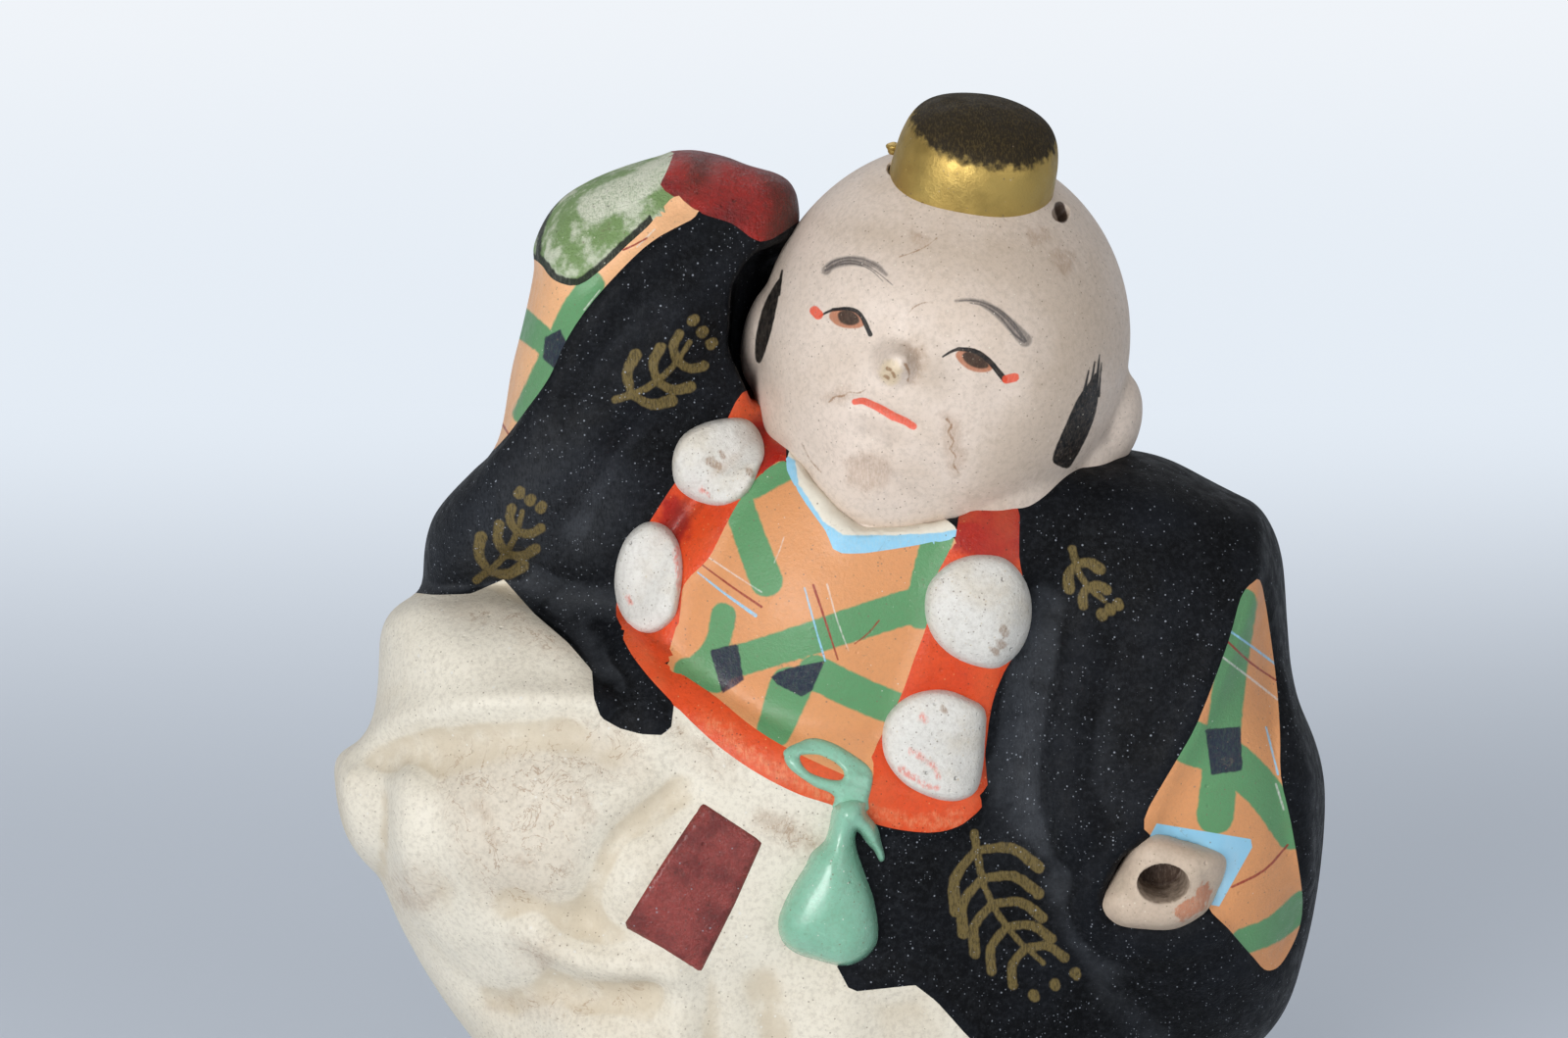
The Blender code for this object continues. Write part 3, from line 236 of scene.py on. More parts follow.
@dataclass
class Skin:
    """A triangle mesh as arrays, to sculpt, cut and paint."""

    points: Array
    faces: Array

    @classmethod
    def of(cls, item: bpy.types.Object) -> "Skin":
        """Arrays of a Blender object, which is taken away.

        Args:
            item: the object.

        Returns:
            Its skin, in triangles.
        """
        shape = bmesh.new()
        shape.from_mesh(item.data)
        bmesh.ops.triangulate(shape, faces=shape.faces)
        mesh = item.data
        shape.to_mesh(mesh)
        shape.free()
        points = np.empty(len(mesh.vertices) * 3)
        mesh.vertices.foreach_get("co", points)
        faces = np.empty(len(mesh.loops), dtype=np.int32)
        mesh.loops.foreach_get("vertex_index", faces)
        bpy.data.objects.remove(item)
        bpy.data.meshes.remove(mesh)
        return cls(points.reshape(-1, 3), faces.reshape(-1, 3).astype(np.int64))

    @classmethod
    def ball(cls, fineness: int) -> "Skin":
        """Ball of radius one.

        Args:
            fineness: how often its mesh is divided.

        Returns:
            Its skin.
        """
        shape = bmesh.new()
        bmesh.ops.create_icosphere(shape, subdivisions=fineness, radius=1)
        mesh = bpy.data.meshes.new("ball")
        shape.to_mesh(mesh)
        shape.free()
        return cls.of(bpy.data.objects.new("ball", mesh))

    @classmethod
    def lathe(cls, rings: Array, ends: Array) -> "Skin":
        """Closed skin round a stack of rings.

        Args:
            rings: points of each ring, ring by ring.
            ends: the point before the first ring and the one after the last.

        Returns:
            The skin, its faces looking outward.
        """
        rows, count = rings.shape[:2]
        here = np.arange(count)
        after = np.roll(here, -1)
        faces = []
        for row in range(rows - 1):
            a, b = row * count + here, row * count + after
            faces.append(np.stack((a, b, b + count), axis=1))
            faces.append(np.stack((a, b + count, a + count), axis=1))
        last, total = (rows - 1) * count, rows * count
        faces.append(np.stack((after, here, np.full(count, total)), axis=1))
        faces.append(np.stack((last + here, last + after, np.full(count, total + 1)), axis=1))
        skin = cls(np.vstack((rings.reshape(-1, 3), ends)), np.vstack(faces))
        middle = skin.points.mean(axis=0)
        if np.sum((skin.points[skin.faces[:, 0]] - middle) * skin.face_normals()) < 0:
            skin.faces = skin.faces[:, ::-1].copy()
        return skin

    def edges(self) -> tuple[Array, Array]:
        """Edges of the mesh.

        Returns:
            The two ends of each edge, and the three edges of each face.
        """
        pairs = np.sort(self.faces[:, [[0, 1], [1, 2], [2, 0]]].reshape(-1, 2), axis=1)
        keys = pairs[:, 0] * len(self.points) + pairs[:, 1]
        _, first, index = np.unique(keys, return_index=True, return_inverse=True)
        return pairs[first], index.reshape(-1, 3)

    def face_normals(self) -> Array:
        """Normals of the faces, as long as twice their area."""
        a, b, c = (self.points[self.faces[:, i]] for i in range(3))
        return np.cross(b - a, c - a)

    def normals(self) -> Array:
        """Unit normals of the points."""
        flat = self.face_normals()
        total = np.zeros_like(self.points)
        for axis in range(3):
            for corner in range(3):
                total[:, axis] += np.bincount(
                    self.faces[:, corner], flat[:, axis], minlength=len(self.points)
                )
        return total / np.maximum(np.linalg.norm(total, axis=1, keepdims=True), 1e-12)

    def smoothed(self, rounds: int, share: float = 0.5) -> Array:
        """Points drawn toward their neighbours.

        Args:
            rounds: how many times.
            share: how far each time.

        Returns:
            The smoothed points.
        """
        ends, _ = self.edges()
        a, b = ends.T
        count = np.bincount(ends.ravel(), minlength=len(self.points)).clip(1)[:, None]
        points = self.points.copy()
        for _ in range(rounds):
            total = np.stack(
                [
                    np.bincount(a, points[b, axis], minlength=len(points))
                    + np.bincount(b, points[a, axis], minlength=len(points))
                    for axis in range(3)
                ],
                axis=1,
            )
            points += share * (total / count - points)
        return points

    def refine(self, wanted: Callable[[Array], Array], rounds: int) -> None:
        """Halve the edges whose middles are wanted.

        Args:
            wanted: says which points call for a finer mesh.
            rounds: how many times.
        """
        for _ in range(rounds):
            ends, of_face = self.edges()
            middles = self.points[ends].mean(axis=1)
            split = wanted(middles)
            fresh = np.full(len(ends), -1, dtype=np.int64)
            fresh[split] = len(self.points) + np.arange(split.sum())
            self.points = np.vstack((self.points, middles[split]))
            new = fresh[of_face]
            count = (new >= 0).sum(axis=1)
            kept = [self.faces[count == 0]]
            for total in (1, 2, 3):
                rows = np.flatnonzero(count == total)
                marked = new[rows] >= 0
                turn = np.argmax(marked, axis=1) if total == 1 else np.argmin(marked, axis=1)
                order = (turn[:, None] + np.arange(3)) % 3
                a, b, c = np.take_along_axis(self.faces[rows], order, axis=1).T
                x, y, z = np.take_along_axis(new[rows], order, axis=1).T
                pieces = {
                    1: ((a, x, c), (x, b, c)),
                    2: ((a, b, y), (a, y, z), (z, y, c)),
                    3: ((a, x, z), (x, b, y), (z, y, c), (x, y, z)),
                }[total]
                kept += [np.stack(piece, axis=1) for piece in pieces]
            self.faces = np.vstack(kept)

    def snap(self, values: Array, held: Array) -> None:
        """Slide points along the mesh onto the zero line of a field.

        Args:
            values: the field at the points, changed to zero where a point has moved.
            held: points that stay, to which the moved ones are added.
        """
        values[held & (np.abs(values) < 1.0)] = 0.0
        ends, _ = self.edges()
        ends = ends[values[ends[:, 0]] * values[ends[:, 1]] < 0]
        a, b = ends.T
        share = values[a] / (values[a] - values[b])
        near, far = np.where(share < 0.5, a, b), np.where(share < 0.5, b, a)
        step = np.minimum(share, 1 - share)
        free = ~held[near]
        near, far, step = near[free], far[free], step[free]
        order = np.argsort(-step)
        near, far, step = near[order], far[order], step[order]
        goal = self.points[near] + step[:, None] * (self.points[far] - self.points[near])
        self.points[near] = goal
        values[near] = 0.0
        held[near] = True

    def shell(self, keep: Array, normals: Array, thickness: float) -> tuple["Skin", Array, Array]:
        """Closed slab of clay under part of the skin.

        Args:
            keep: which faces to take.
            normals: normals of the whole skin's points.
            thickness: of the slab.

        Returns:
            The slab, the normal of each corner of its faces, and where its points come from.
        """
        used, flat = np.unique(self.faces[keep], return_inverse=True)
        top = flat.reshape(-1, 3)
        count = len(used)
        points = np.vstack((self.points[used], self.points[used] - normals[used] * thickness))
        starts, ends = top.ravel(), top[:, [1, 2, 0]].ravel()
        rim = ~np.isin(starts * count + ends, ends * count + starts)
        a, b = starts[rim], ends[rim]
        walls = np.vstack(
            (np.stack((b, a, a + count), axis=1), np.stack((b, a + count, b + count), axis=1))
        )
        slab = Skin(points, np.vstack((top, top[:, ::-1] + count, walls)))
        flats = slab.face_normals()
        flats /= np.maximum(np.linalg.norm(flats, axis=1, keepdims=True), 1e-20)
        corners = np.repeat(flats[:, None], 3, axis=1)
        corners[: len(top)] = normals[used][top]
        corners[len(top) : 2 * len(top)] = -normals[used][top[:, ::-1]]
        return slab, corners, used

    def item(self, name: str, corners: Array | None = None) -> bpy.types.Object:
        """Blender object of this skin.

        Args:
            name: of the object.
            corners: normal of each corner of the faces, or None for plain smooth shading.

        Returns:
            The object, linked to the scene.
        """
        mesh = bpy.data.meshes.new(name)
        mesh.vertices.add(len(self.points))
        mesh.vertices.foreach_set("co", self.points.ravel())
        mesh.loops.add(self.faces.size)
        mesh.loops.foreach_set("vertex_index", self.faces.ravel().astype(np.int32))
        mesh.polygons.add(len(self.faces))
        mesh.polygons.foreach_set("loop_start", np.arange(0, self.faces.size, 3, dtype=np.int32))
        mesh.update(calc_edges=True)
        mesh.shade_smooth()
        if corners is not None:
            mesh.normals_split_custom_set(corners.reshape(-1, 3).tolist())
        thing = bpy.data.objects.new(name, mesh)
        bpy.context.scene.collection.objects.link(thing)
        return thing


def keep_field(item: bpy.types.Object, name: str, values: Array) -> None:
    """Keep a field on an object's points, where its material reads it.

    Args:
        item: the object.
        name: of the field.
        values: one for each point.
    """
    layer = item.data.attributes.new(name, "FLOAT", "POINT")
    layer.data.foreach_set("value", np.asarray(values, dtype=np.float32))


def linear(value: float) -> float:
    """A display colour value, from 0 to 255, as the linear value that a shader takes."""
    share = value / 255
    return share / 12.92 if share <= 0.04045 else ((share + 0.055) / 1.055) ** 2.4


@dataclass(frozen=True)
class Colour:
    """A paint colour in display values from 0 to 255."""

    red: float
    green: float
    blue: float

    def rgba(self) -> tuple[float, float, float, float]:
        """The linear colour that a shader takes."""
        return (linear(self.red), linear(self.green), linear(self.blue), 1.0)


class Paint(Enum):
    """The maker's pots of paint, what lies on and under the paint, and painted shade, sheen and
    floor light.
    """

    CREAM = Colour(223, 216, 200)
    CREAM_SHADE = Colour(198, 184, 160)
    # Brown of dirt marks, also painted as shade under folds and beside the nose
    BROWN_STAIN_AND_SHADE = Colour(140, 100, 62)
    FLESH = Colour(218, 202, 188)
    FLESH_WARM = Colour(200, 180, 160)
    # Painted shade of the face
    FLESH_SHADE = Colour(168, 147, 122)
    GREY_BROWN = Colour(120, 104, 88)
    BLACK = Colour(5, 6, 8)
    BLACK_SHEEN = Colour(25, 28, 34)
    DUST = Colour(168, 174, 184)
    BROW = Colour(84, 78, 76)
    RED = Colour(226, 78, 46)
    IRIS = Colour(176, 98, 52)
    ORANGE = Colour(218, 76, 32)
    ORANGE_DEEP = Colour(186, 50, 28)
    PEACH = Colour(216, 150, 98)
    PEACH_PALE = Colour(236, 182, 134)
    PEACH_DEEP = Colour(204, 138, 88)
    GREEN = Colour(72, 146, 98)
    NAVY = Colour(17, 16, 50)
    SKY = Colour(142, 197, 224)
    RUST = Colour(150, 52, 38)
    WHITE = Colour(220, 217, 210)
    JADE = Colour(138, 190, 164)
    JADE_DEEP = Colour(102, 164, 130)
    LEAF = Colour(124, 152, 96)
    LEAF_CREAM = Colour(224, 226, 206)
    WINE = Colour(146, 60, 54)
    WINE_DEEP = Colour(104, 32, 30)
    CRIMSON = Colour(160, 31, 24)
    CRIMSON_DEEP = Colour(92, 20, 24)
    GOLD = Colour(182, 154, 86)
    OLIVE_GOLD = Colour(116, 100, 60)
    GOLD_DULL = Colour(122, 100, 50)
    UMBER = Colour(30, 23, 13)
    TERRACOTTA = Colour(192, 128, 96)
    CLAY_YELLOW = Colour(212, 192, 156)
    # Dark of pits and dirt, also painted as shade in holes, in the bore and on the cuff
    PIT = Colour(58, 38, 28)
    # Floor colours, painted light: darker near the doll, lighter far off
    FLOOR_FAR = Colour(240, 244, 249)
    FLOOR_MIDDLE = Colour(228, 236, 245)
    FLOOR_NEAR = Colour(214, 222, 233)


class Board:
    """A node tree, with short calls that add nodes and join them."""

    def __init__(self, tree: bpy.types.NodeTree) -> None:
        """Work on this tree."""
        self.tree = tree

    def add(self, kind: str, values: dict | None = None, **settings) -> bpy.types.Node:
        """Add a node.

        Args:
            kind: its type, without the ShaderNode at its front.
            values: what its inputs hold or take, by name or number.
            settings: its own settings.

        Returns:
            The node.
        """
        node = self.tree.nodes.new("ShaderNode" + kind)
        for key, value in settings.items():
            setattr(node, key, value)
        for key, value in (values or {}).items():
            self.feed(node.inputs[key], value)
        return node

    def feed(self, target: bpy.types.NodeSocket, value) -> None:
        """Join a socket to an input, or set the input to a value.

        Args:
            target: the input.
            value: a socket, a number, a colour or a vector.
        """
        if isinstance(value, bpy.types.NodeSocket):
            self.tree.links.new(value, target)
        elif isinstance(value, Paint):
            target.default_value = value.value.rgba()
        else:
            target.default_value = value

    def math(self, operation: str, first, second=0.0, third=0.0) -> bpy.types.NodeSocket:
        """Result of a Math node."""
        return self.add("Math", {0: first, 1: second, 2: third}, operation=operation).outputs[0]

    def times(self, first, second) -> bpy.types.NodeSocket:
        """Product of two values."""
        return self.math("MULTIPLY", first, second)

    def ramp(self, value, low, high, start=0.0, end=1.0) -> bpy.types.NodeSocket:
        """Smooth step of a value from one pair of numbers to another."""
        values = {0: value, 1: low, 2: high, 3: start, 4: end}
        return self.add("MapRange", values, interpolation_type="SMOOTHSTEP").outputs[0]

    def mix(self, share, first, second, blend: str = "MIX") -> bpy.types.NodeSocket:
        """Mix of two colours."""
        node = self.add("Mix", data_type="RGBA", blend_type=blend)
        self.feed(node.inputs[0], share)
        self.feed(node.inputs[6], first)
        self.feed(node.inputs[7], second)
        return node.outputs[2]

    def where(self, stretch: tuple[float, float, float] = (1, 1, 1)) -> bpy.types.NodeSocket:
        """Place on the doll in millimetres, stretched along the axes."""
        place = self.add("TexCoord").outputs["Object"]
        scale = tuple(share / MM for share in stretch)
        return self.add("Mapping", {"Vector": place, "Scale": scale}).outputs[0]

    def noise(self, scale, detail=2.0, vector=None, rough=0.5, twist=0.0) -> bpy.types.NodeSocket:
        """Noise from 0 to 1, its scale in waves to the millimetre."""
        values = {"Scale": scale, "Detail": detail, "Roughness": rough, "Distortion": twist}
        values["Vector"] = vector if vector is not None else self.where()
        return self.add("TexNoise", values).outputs[0]

    def field(self, name: str) -> bpy.types.NodeSocket:
        """A field that the mesh keeps on its points."""
        return self.add("Attribute", attribute_name=name).outputs["Fac"]

    def effect(self, group: "Effect", **values) -> bpy.types.Node:
        """A shared effect, with this material's values."""
        node = self.tree.nodes.new("ShaderNodeGroup")
        node.node_tree = group.tree()
        for key, value in values.items():
            self.feed(node.inputs[key.replace("_", " ").capitalize()], value)
        return node


class Effect(Enum):
    """Effects that several finishes share, each one shader node group."""

    GRAIN = "clay grain"
    MARK = "brush mark"
    SPECKS = "specks"
    HAIRS = "hair marks"
    BLOTCH = "blotches"

    def tree(self) -> bpy.types.NodeTree:
        """The group, made at its first use.

        Returns:
            The node group.
        """
        tree = bpy.data.node_groups.get(self.value)
        if tree is None:
            tree = bpy.data.node_groups.new(self.value, "ShaderNodeTree")
            {
                Effect.GRAIN: self.make_grain,
                Effect.MARK: self.make_mark,
                Effect.SPECKS: self.make_specks,
                Effect.HAIRS: self.make_hairs,
                Effect.BLOTCH: self.make_blotch,
            }[self](tree)
        return tree

    @staticmethod
    def sockets(tree: bpy.types.NodeTree, takes: dict, gives: tuple) -> tuple[Board, dict, object]:
        """Give a group its sockets.

        Args:
            tree: the group.
            takes: its inputs and what they hold.
            gives: names of its outputs.

        Returns:
            Its board, its inputs by name, and its output node.
        """
        for name, value in takes.items():
            socket = tree.interface.new_socket(name, in_out="INPUT", socket_type="NodeSocketFloat")
            socket.default_value = value
        for name in gives:
            tree.interface.new_socket(name, in_out="OUTPUT", socket_type="NodeSocketFloat")
        entry = tree.nodes.new("NodeGroupInput")
        leave = tree.nodes.new("NodeGroupOutput")
        return Board(tree), {name: entry.outputs[name] for name in takes}, leave

    def make_grain(self, tree: bpy.types.NodeTree) -> None:
        """Skin of pressed clay under matt paint: soft lumps, fine grain and pits."""
        takes = {"Lumps": 0.5, "Grain": 0.3, "Pits": 0.3}
        board, given, leave = self.sockets(tree, takes, ("Height", "Pit"))
        lumps = board.times(board.noise(0.22, 3), given["Lumps"])
        grain = board.times(board.noise(2.6, 4, rough=0.65), given["Grain"])
        cells = board.add("TexVoronoi", {"Vector": board.where(), "Scale": 0.55, "Randomness": 1.0})
        few = board.ramp(board.noise(0.3, 1), 0.5, 0.62)
        hole = board.ramp(cells.outputs["Distance"], 0.16, 0.04)
        pit = board.times(board.times(hole, few), given["Pits"])
        total = board.math("SUBTRACT", board.math("ADD", lumps, grain), pit)
        board.feed(leave.inputs["Height"], total)
        board.feed(leave.inputs["Pit"], pit)

    def make_mark(self, tree: bpy.types.NodeTree) -> None:
        """Mark of a loaded brush: a wavering edge, and dry streaks where it runs out."""
        takes = {"Distance": 0.0, "Waver": 1.0, "Soft": 0.8, "Dry": 0.0}
        board, given, leave = self.sockets(tree, takes, ("Mask",))
        waver = board.math("SUBTRACT", board.noise(1.1, 3), 0.5)
        edge = board.math("MULTIPLY_ADD", waver, given["Waver"], given["Distance"])
        minus = board.times(given["Soft"], -1.0)
        mask = board.ramp(edge, minus, given["Soft"])
        streaks = board.noise(1.0, 3, board.where((5.0, 2.0, 1.4)), rough=0.7)
        bare = board.ramp(streaks, 0.46, 0.62)
        held = board.math("SUBTRACT", 1.0, board.times(bare, given["Dry"]))
        board.feed(leave.inputs["Mask"], board.times(mask, held))

    def make_specks(self, tree: bpy.types.NodeTree) -> None:
        """Scattered specks of dust, or of paint lost."""
        takes = {"Scale": 1.0, "Size": 0.2, "Amount": 0.5}
        board, given, leave = self.sockets(tree, takes, ("Mask",))
        values = {"Vector": board.where(), "Scale": given["Scale"], "Randomness": 1.0}
        cells = board.add("TexVoronoi", values)
        draw = board.add("SeparateColor", {0: cells.outputs["Color"]})
        size = board.times(given["Size"], draw.outputs[1])
        dot = board.ramp(cells.outputs["Distance"], size, board.times(size, 0.4))
        sway = board.math("SUBTRACT", board.noise(0.08, 3), 0.5)
        drift = board.math("ADD", given["Amount"], sway)
        picked = board.math("LESS_THAN", draw.outputs[0], drift)
        board.feed(leave.inputs["Mask"], board.times(dot, picked))

    def make_hairs(self, tree: bpy.types.NodeTree) -> None:
        """Fine crooked marks: hair cracks, dirt in them, or scratches."""
        takes = {"Scale": 0.2, "Width": 0.012, "Amount": 0.5}
        board, given, leave = self.sockets(tree, takes, ("Mask",))
        wave = board.noise(given["Scale"], 4, rough=0.62, twist=0.6)
        away = board.math("ABSOLUTE", board.math("SUBTRACT", wave, 0.5))
        line = board.ramp(away, given["Width"], 0.0)
        low = board.math("SUBTRACT", 0.78, board.times(given["Amount"], 0.4))
        gate = board.ramp(board.noise(0.33, 3), low, board.math("ADD", low, 0.1))
        board.feed(leave.inputs["Mask"], board.times(line, gate))

    def make_blotch(self, tree: bpy.types.NodeTree) -> None:
        """Cloudy share of a second colour."""
        takes = {"Scale": 0.1, "Low": 0.4, "High": 0.7}
        board, given, leave = self.sockets(tree, takes, ("Mask",))
        cloud = board.noise(given["Scale"], 5, rough=0.6)
        board.feed(leave.inputs["Mask"], board.ramp(cloud, given["Low"], given["High"]))


# Relief at which dirt and painted shade start and are full in the hollows, and the same for wear
# and painted sheen on the heights
GRIME_AND_SHADE_RELIEF = (-0.05, -0.6)
RUBBED_AND_SHEEN_RELIEF = (0.15, 0.8)
# Fineness and size of the specks of dirt, and how well dirt and dust cover
DIRT_SPECKS = ((0.8, 0.13), (1.9, 0.3))
DIRT_COVER = 0.7
DUST_COVER = 0.75


@dataclass(frozen=True)
class Finish:
    """A painted surface: its ground colour, the figures on it, its gloss, wear and painted shade
    and sheen.
    """

    name: str
    slot: str
    ground: Paint
    second: Paint
    gloss: tuple[float, float] = (0.45, 0.6)
    lumps: float = 0.5
    grain: float = 0.25
    pits: float = 0.25
    bump: float = 0.12
    cloud: tuple[float, float, float] = (0.09, 0.42, 0.75)
    cloud_share: float = 0.6
    dust: tuple[float, float, float] = (1.0, 0.2, 0.1)
    dust_paint: Paint = Paint.DUST
    dirt: float = 0.2
    dirt_paint: Paint = Paint.GREY_BROWN
    mottle: float = 0.0
    crazing: float = 0.4
    scribble: float = 0.0
    # Paint and share of the dirt and painted shade in the hollows
    hollow_paint: Paint = Paint.PIT
    hollow: float = 0.35
    specular: float = 0.4
    # Share and paint of the wear and painted sheen on the heights
    rubbed_and_sheen: float = 0.0
    rubbed_and_sheen_paint: Paint = Paint.TERRACOTTA
    metallic: float = 0.0
    coat: float = 0.0

    def ground_colour(self, board: Board) -> bpy.types.NodeSocket:
        """Ground paint with its clouds.

        Args:
            board: the material's board.

        Returns:
            The colour.
        """
        scale, low, high = self.cloud
        cloud = board.effect(Effect.BLOTCH, scale=scale, low=low, high=high).outputs[0]
        share = board.times(cloud, self.cloud_share)
        return board.mix(share, self.ground, self.second)

    def figures(self, board: Board, colour: bpy.types.NodeSocket) -> bpy.types.NodeSocket:
        """Painted figures over the ground. A plain finish has none.

        Args:
            board: the material's board.
            colour: what lies under them.

        Returns:
            The colour with the figures.
        """
        return colour

    def wear(self, board: Board, colour: bpy.types.NodeSocket) -> bpy.types.NodeSocket:
        """Dirt and painted shade in the hollows, wear and painted sheen on the heights, hair marks
        and dust.

        Args:
            board: the material's board.
            colour: the clean paint.

        Returns:
            The worn paint.
        """
        if self.mottle:
            fine = board.ramp(board.noise(1.7, 5, rough=0.7), 0.42, 0.68)
            colour = board.mix(board.times(fine, self.mottle), colour, self.dirt_paint)
        relief = board.field("relief")
        patchy = board.ramp(board.noise(0.35, 4), 0.15, 0.6)
        # Hollows take dirt and painted shade
        deep = board.times(board.ramp(relief, *GRIME_AND_SHADE_RELIEF), self.hollow)
        colour = board.mix(board.times(deep, patchy), colour, self.hollow_paint)
        # Heights take wear and painted sheen
        if self.rubbed_and_sheen:
            high = board.times(board.ramp(relief, *RUBBED_AND_SHEEN_RELIEF), self.rubbed_and_sheen)
            colour = board.mix(board.times(high, patchy), colour, self.rubbed_and_sheen_paint)
        hairs = board.effect(Effect.HAIRS, amount=self.crazing).outputs[0]
        colour = board.mix(board.times(hairs, self.crazing), colour, self.dirt_paint)
        if self.scribble:
            fine = board.effect(Effect.HAIRS, scale=0.3, width=0.018, amount=1.0).outputs[0]
            here = board.ramp(board.field("stain_and_shade"), -14.0, 14.0, 0.0, self.scribble)
            colour = board.mix(board.times(fine, here), colour, Paint.BROWN_STAIN_AND_SHADE)
        for fineness, spread in DIRT_SPECKS:
            values = {"scale": fineness, "size": spread, "amount": self.dirt * 0.6}
            specks = board.effect(Effect.SPECKS, **values).outputs[0]
            colour = board.mix(board.times(specks, DIRT_COVER), colour, self.dirt_paint)
        scale, size, amount = self.dust
        dust = board.effect(Effect.SPECKS, scale=scale, size=size, amount=amount).outputs[0]
        return board.mix(board.times(dust, DUST_COVER), colour, self.dust_paint)

    def material(self) -> bpy.types.Material:
        """The material, made at its first use.

        Returns:
            The material.
        """
        material = bpy.data.materials.get(self.name)
        if material is not None:
            return material
        material = bpy.data.materials.new(self.name)
        material.use_nodes = True
        board = Board(material.node_tree)
        shader = material.node_tree.nodes["Principled BSDF"]
        colour = self.wear(board, self.figures(board, self.ground_colour(board)))
        board.feed(shader.inputs["Base Color"], colour)
        low, high = self.gloss
        rough = board.ramp(board.noise(0.6, 4), 0.3, 0.7, low, high)
        if self.metallic:
            bare = board.effect(Effect.MARK, distance=board.field("top"), waver=14.0, soft=4.0)
            kept = board.math("SUBTRACT", 1.0, bare.outputs[0])
            board.feed(shader.inputs["Metallic"], board.times(kept, self.metallic))
            rough = board.math("MULTIPLY_ADD", bare.outputs[0], 0.35, rough)
        board.feed(shader.inputs["Roughness"], rough)
        shader.inputs["Coat Weight"].default_value = self.coat
        shader.inputs["Coat Roughness"].default_value = 0.2
        shader.inputs["Specular IOR Level"].default_value = self.specular
        grain = board.effect(Effect.GRAIN, lumps=self.lumps, grain=self.grain, pits=self.pits)
        bump = {"Height": grain.outputs["Height"], "Distance": self.bump * MM, "Strength": 1.0}
        board.feed(shader.inputs["Normal"], board.add("Bump", bump).outputs[0])
        material.diffuse_color = self.ground.value.rgba()
        return material

    def dress(self, piece: bpy.types.Object, *nodes: str) -> None:
        """Give a piece this finish and its place in the frame.

        Args:
            piece: the piece.
            nodes: CAD nodes that it stands for.
        """
        piece.data.materials.clear()
        piece.data.materials.append(self.material())
        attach(piece, "root")
        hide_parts(*nodes)
        LOG.info("%s: %d faces, for %s", piece.name, len(piece.data.polygons), ", ".join(nodes))


@dataclass(frozen=True)
class Layer:
    """One painted figure: the field it is kept in, its paint and the way of the brush."""

    field_name: str
    paint: Paint
    waver: float = 2.0
    soft: float = 0.8
    dry: float = 0.0
    cover: float = 1.0


@dataclass(frozen=True)
class Figured(Finish):
    """A finish with painted figures, the later ones over the earlier."""

    layers: tuple[Layer, ...] = ()

    def figures(self, board: Board, colour: bpy.types.NodeSocket) -> bpy.types.NodeSocket:
        """Painted figures over the ground.

        Args:
            board: the material's board.
            colour: what lies under them.

        Returns:
            The colour with the figures.
        """
        for layer in self.layers:
            values = {"waver": layer.waver, "soft": layer.soft, "dry": layer.dry}
            mark = board.effect(Effect.MARK, distance=board.field(layer.field_name), **values)
            share = board.times(mark.outputs[0], layer.cover)
            colour = board.mix(share, colour, layer.paint)
        return colour


@dataclass(frozen=True)
class Pad:
    """A pad of clay: its outline, the depth of its middle, and how far it swells."""

    outline_px: Path
    middle_px: float
    front_px: float
    back_px: float
    squareness: float = 0.8

    def skin(self, steps: int = 5, levels: int = 14) -> Skin:
        """Rings of the outline, drawn in toward the middle at front and back.

        Args:
            steps: places to each span of the outline.
            levels: rings from the rim to the middle.

        Returns:
            The closed skin.
        """
        loop = smooth_path(self.outline_px, steps, closed=True)
        middle = loop.mean(axis=0)
        rings = []
        for level in range(1, 2 * levels):
            angle = math.pi / 2 * (level / levels - 1)
            share = math.cos(angle) ** self.squareness
            swell = abs(math.sin(angle)) ** self.squareness
            depth = self.middle_px + swell * (self.back_px if angle > 0 else -self.front_px)
            rings.append(VIEW.place(middle + share * (loop - middle), depth * VIEW.pixel))
        depths = (self.middle_px - self.front_px, self.middle_px + self.back_px)
        ends = np.vstack([VIEW.place(middle, depth * VIEW.pixel) for depth in depths])
        return Skin.lathe(np.stack(rings), ends)


@dataclass(frozen=True)
class Stroke:
    """A stroke of the modelling tool: a ridge where the rise is over zero, else a groove."""

    path_px: Path
    width_px: float
    rise_px: float


@dataclass(frozen=True)
class Marks:
    """Brush marks and patches of one paint, as places in the photograph."""

    paths: tuple = ()
    patches: tuple = ()
    holes: tuple = ()
    crisp: bool = False

    def curve(self, patch: Path) -> Array:
        """Outline of a patch, its corners kept where the marks are crisp."""
        return np.array(patch, dtype=float) if self.crisp else smooth_path(patch, CURVE_STEPS, True)

    def field(self, spots: Array) -> Array:
        """Signed distance to the nearest mark, over zero on it.

        Args:
            spots: pixels, one row each.

        Returns:
            Pixels to the edge of the marks.
        """
        best = np.full(len(spots), AWAY_PX)
        for path, start, end in self.paths:
            curve = smooth_path(path, CURVE_STEPS)
            near = close_to(spots, curve, start + end)
            mark = path_distance(spots[near], curve, (start, end))
            best[near] = np.maximum(best[near], mark)
        for patch in self.patches:
            curve = self.curve(patch)
            near = close_to(spots, curve, 0)
            best[near] = np.maximum(best[near], outline_distance(spots[near], curve))
        for hole in self.holes:
            best = np.minimum(best, -outline_distance(spots, self.curve(hole)))
        return best


Figures = tuple[tuple[str, Marks], ...]


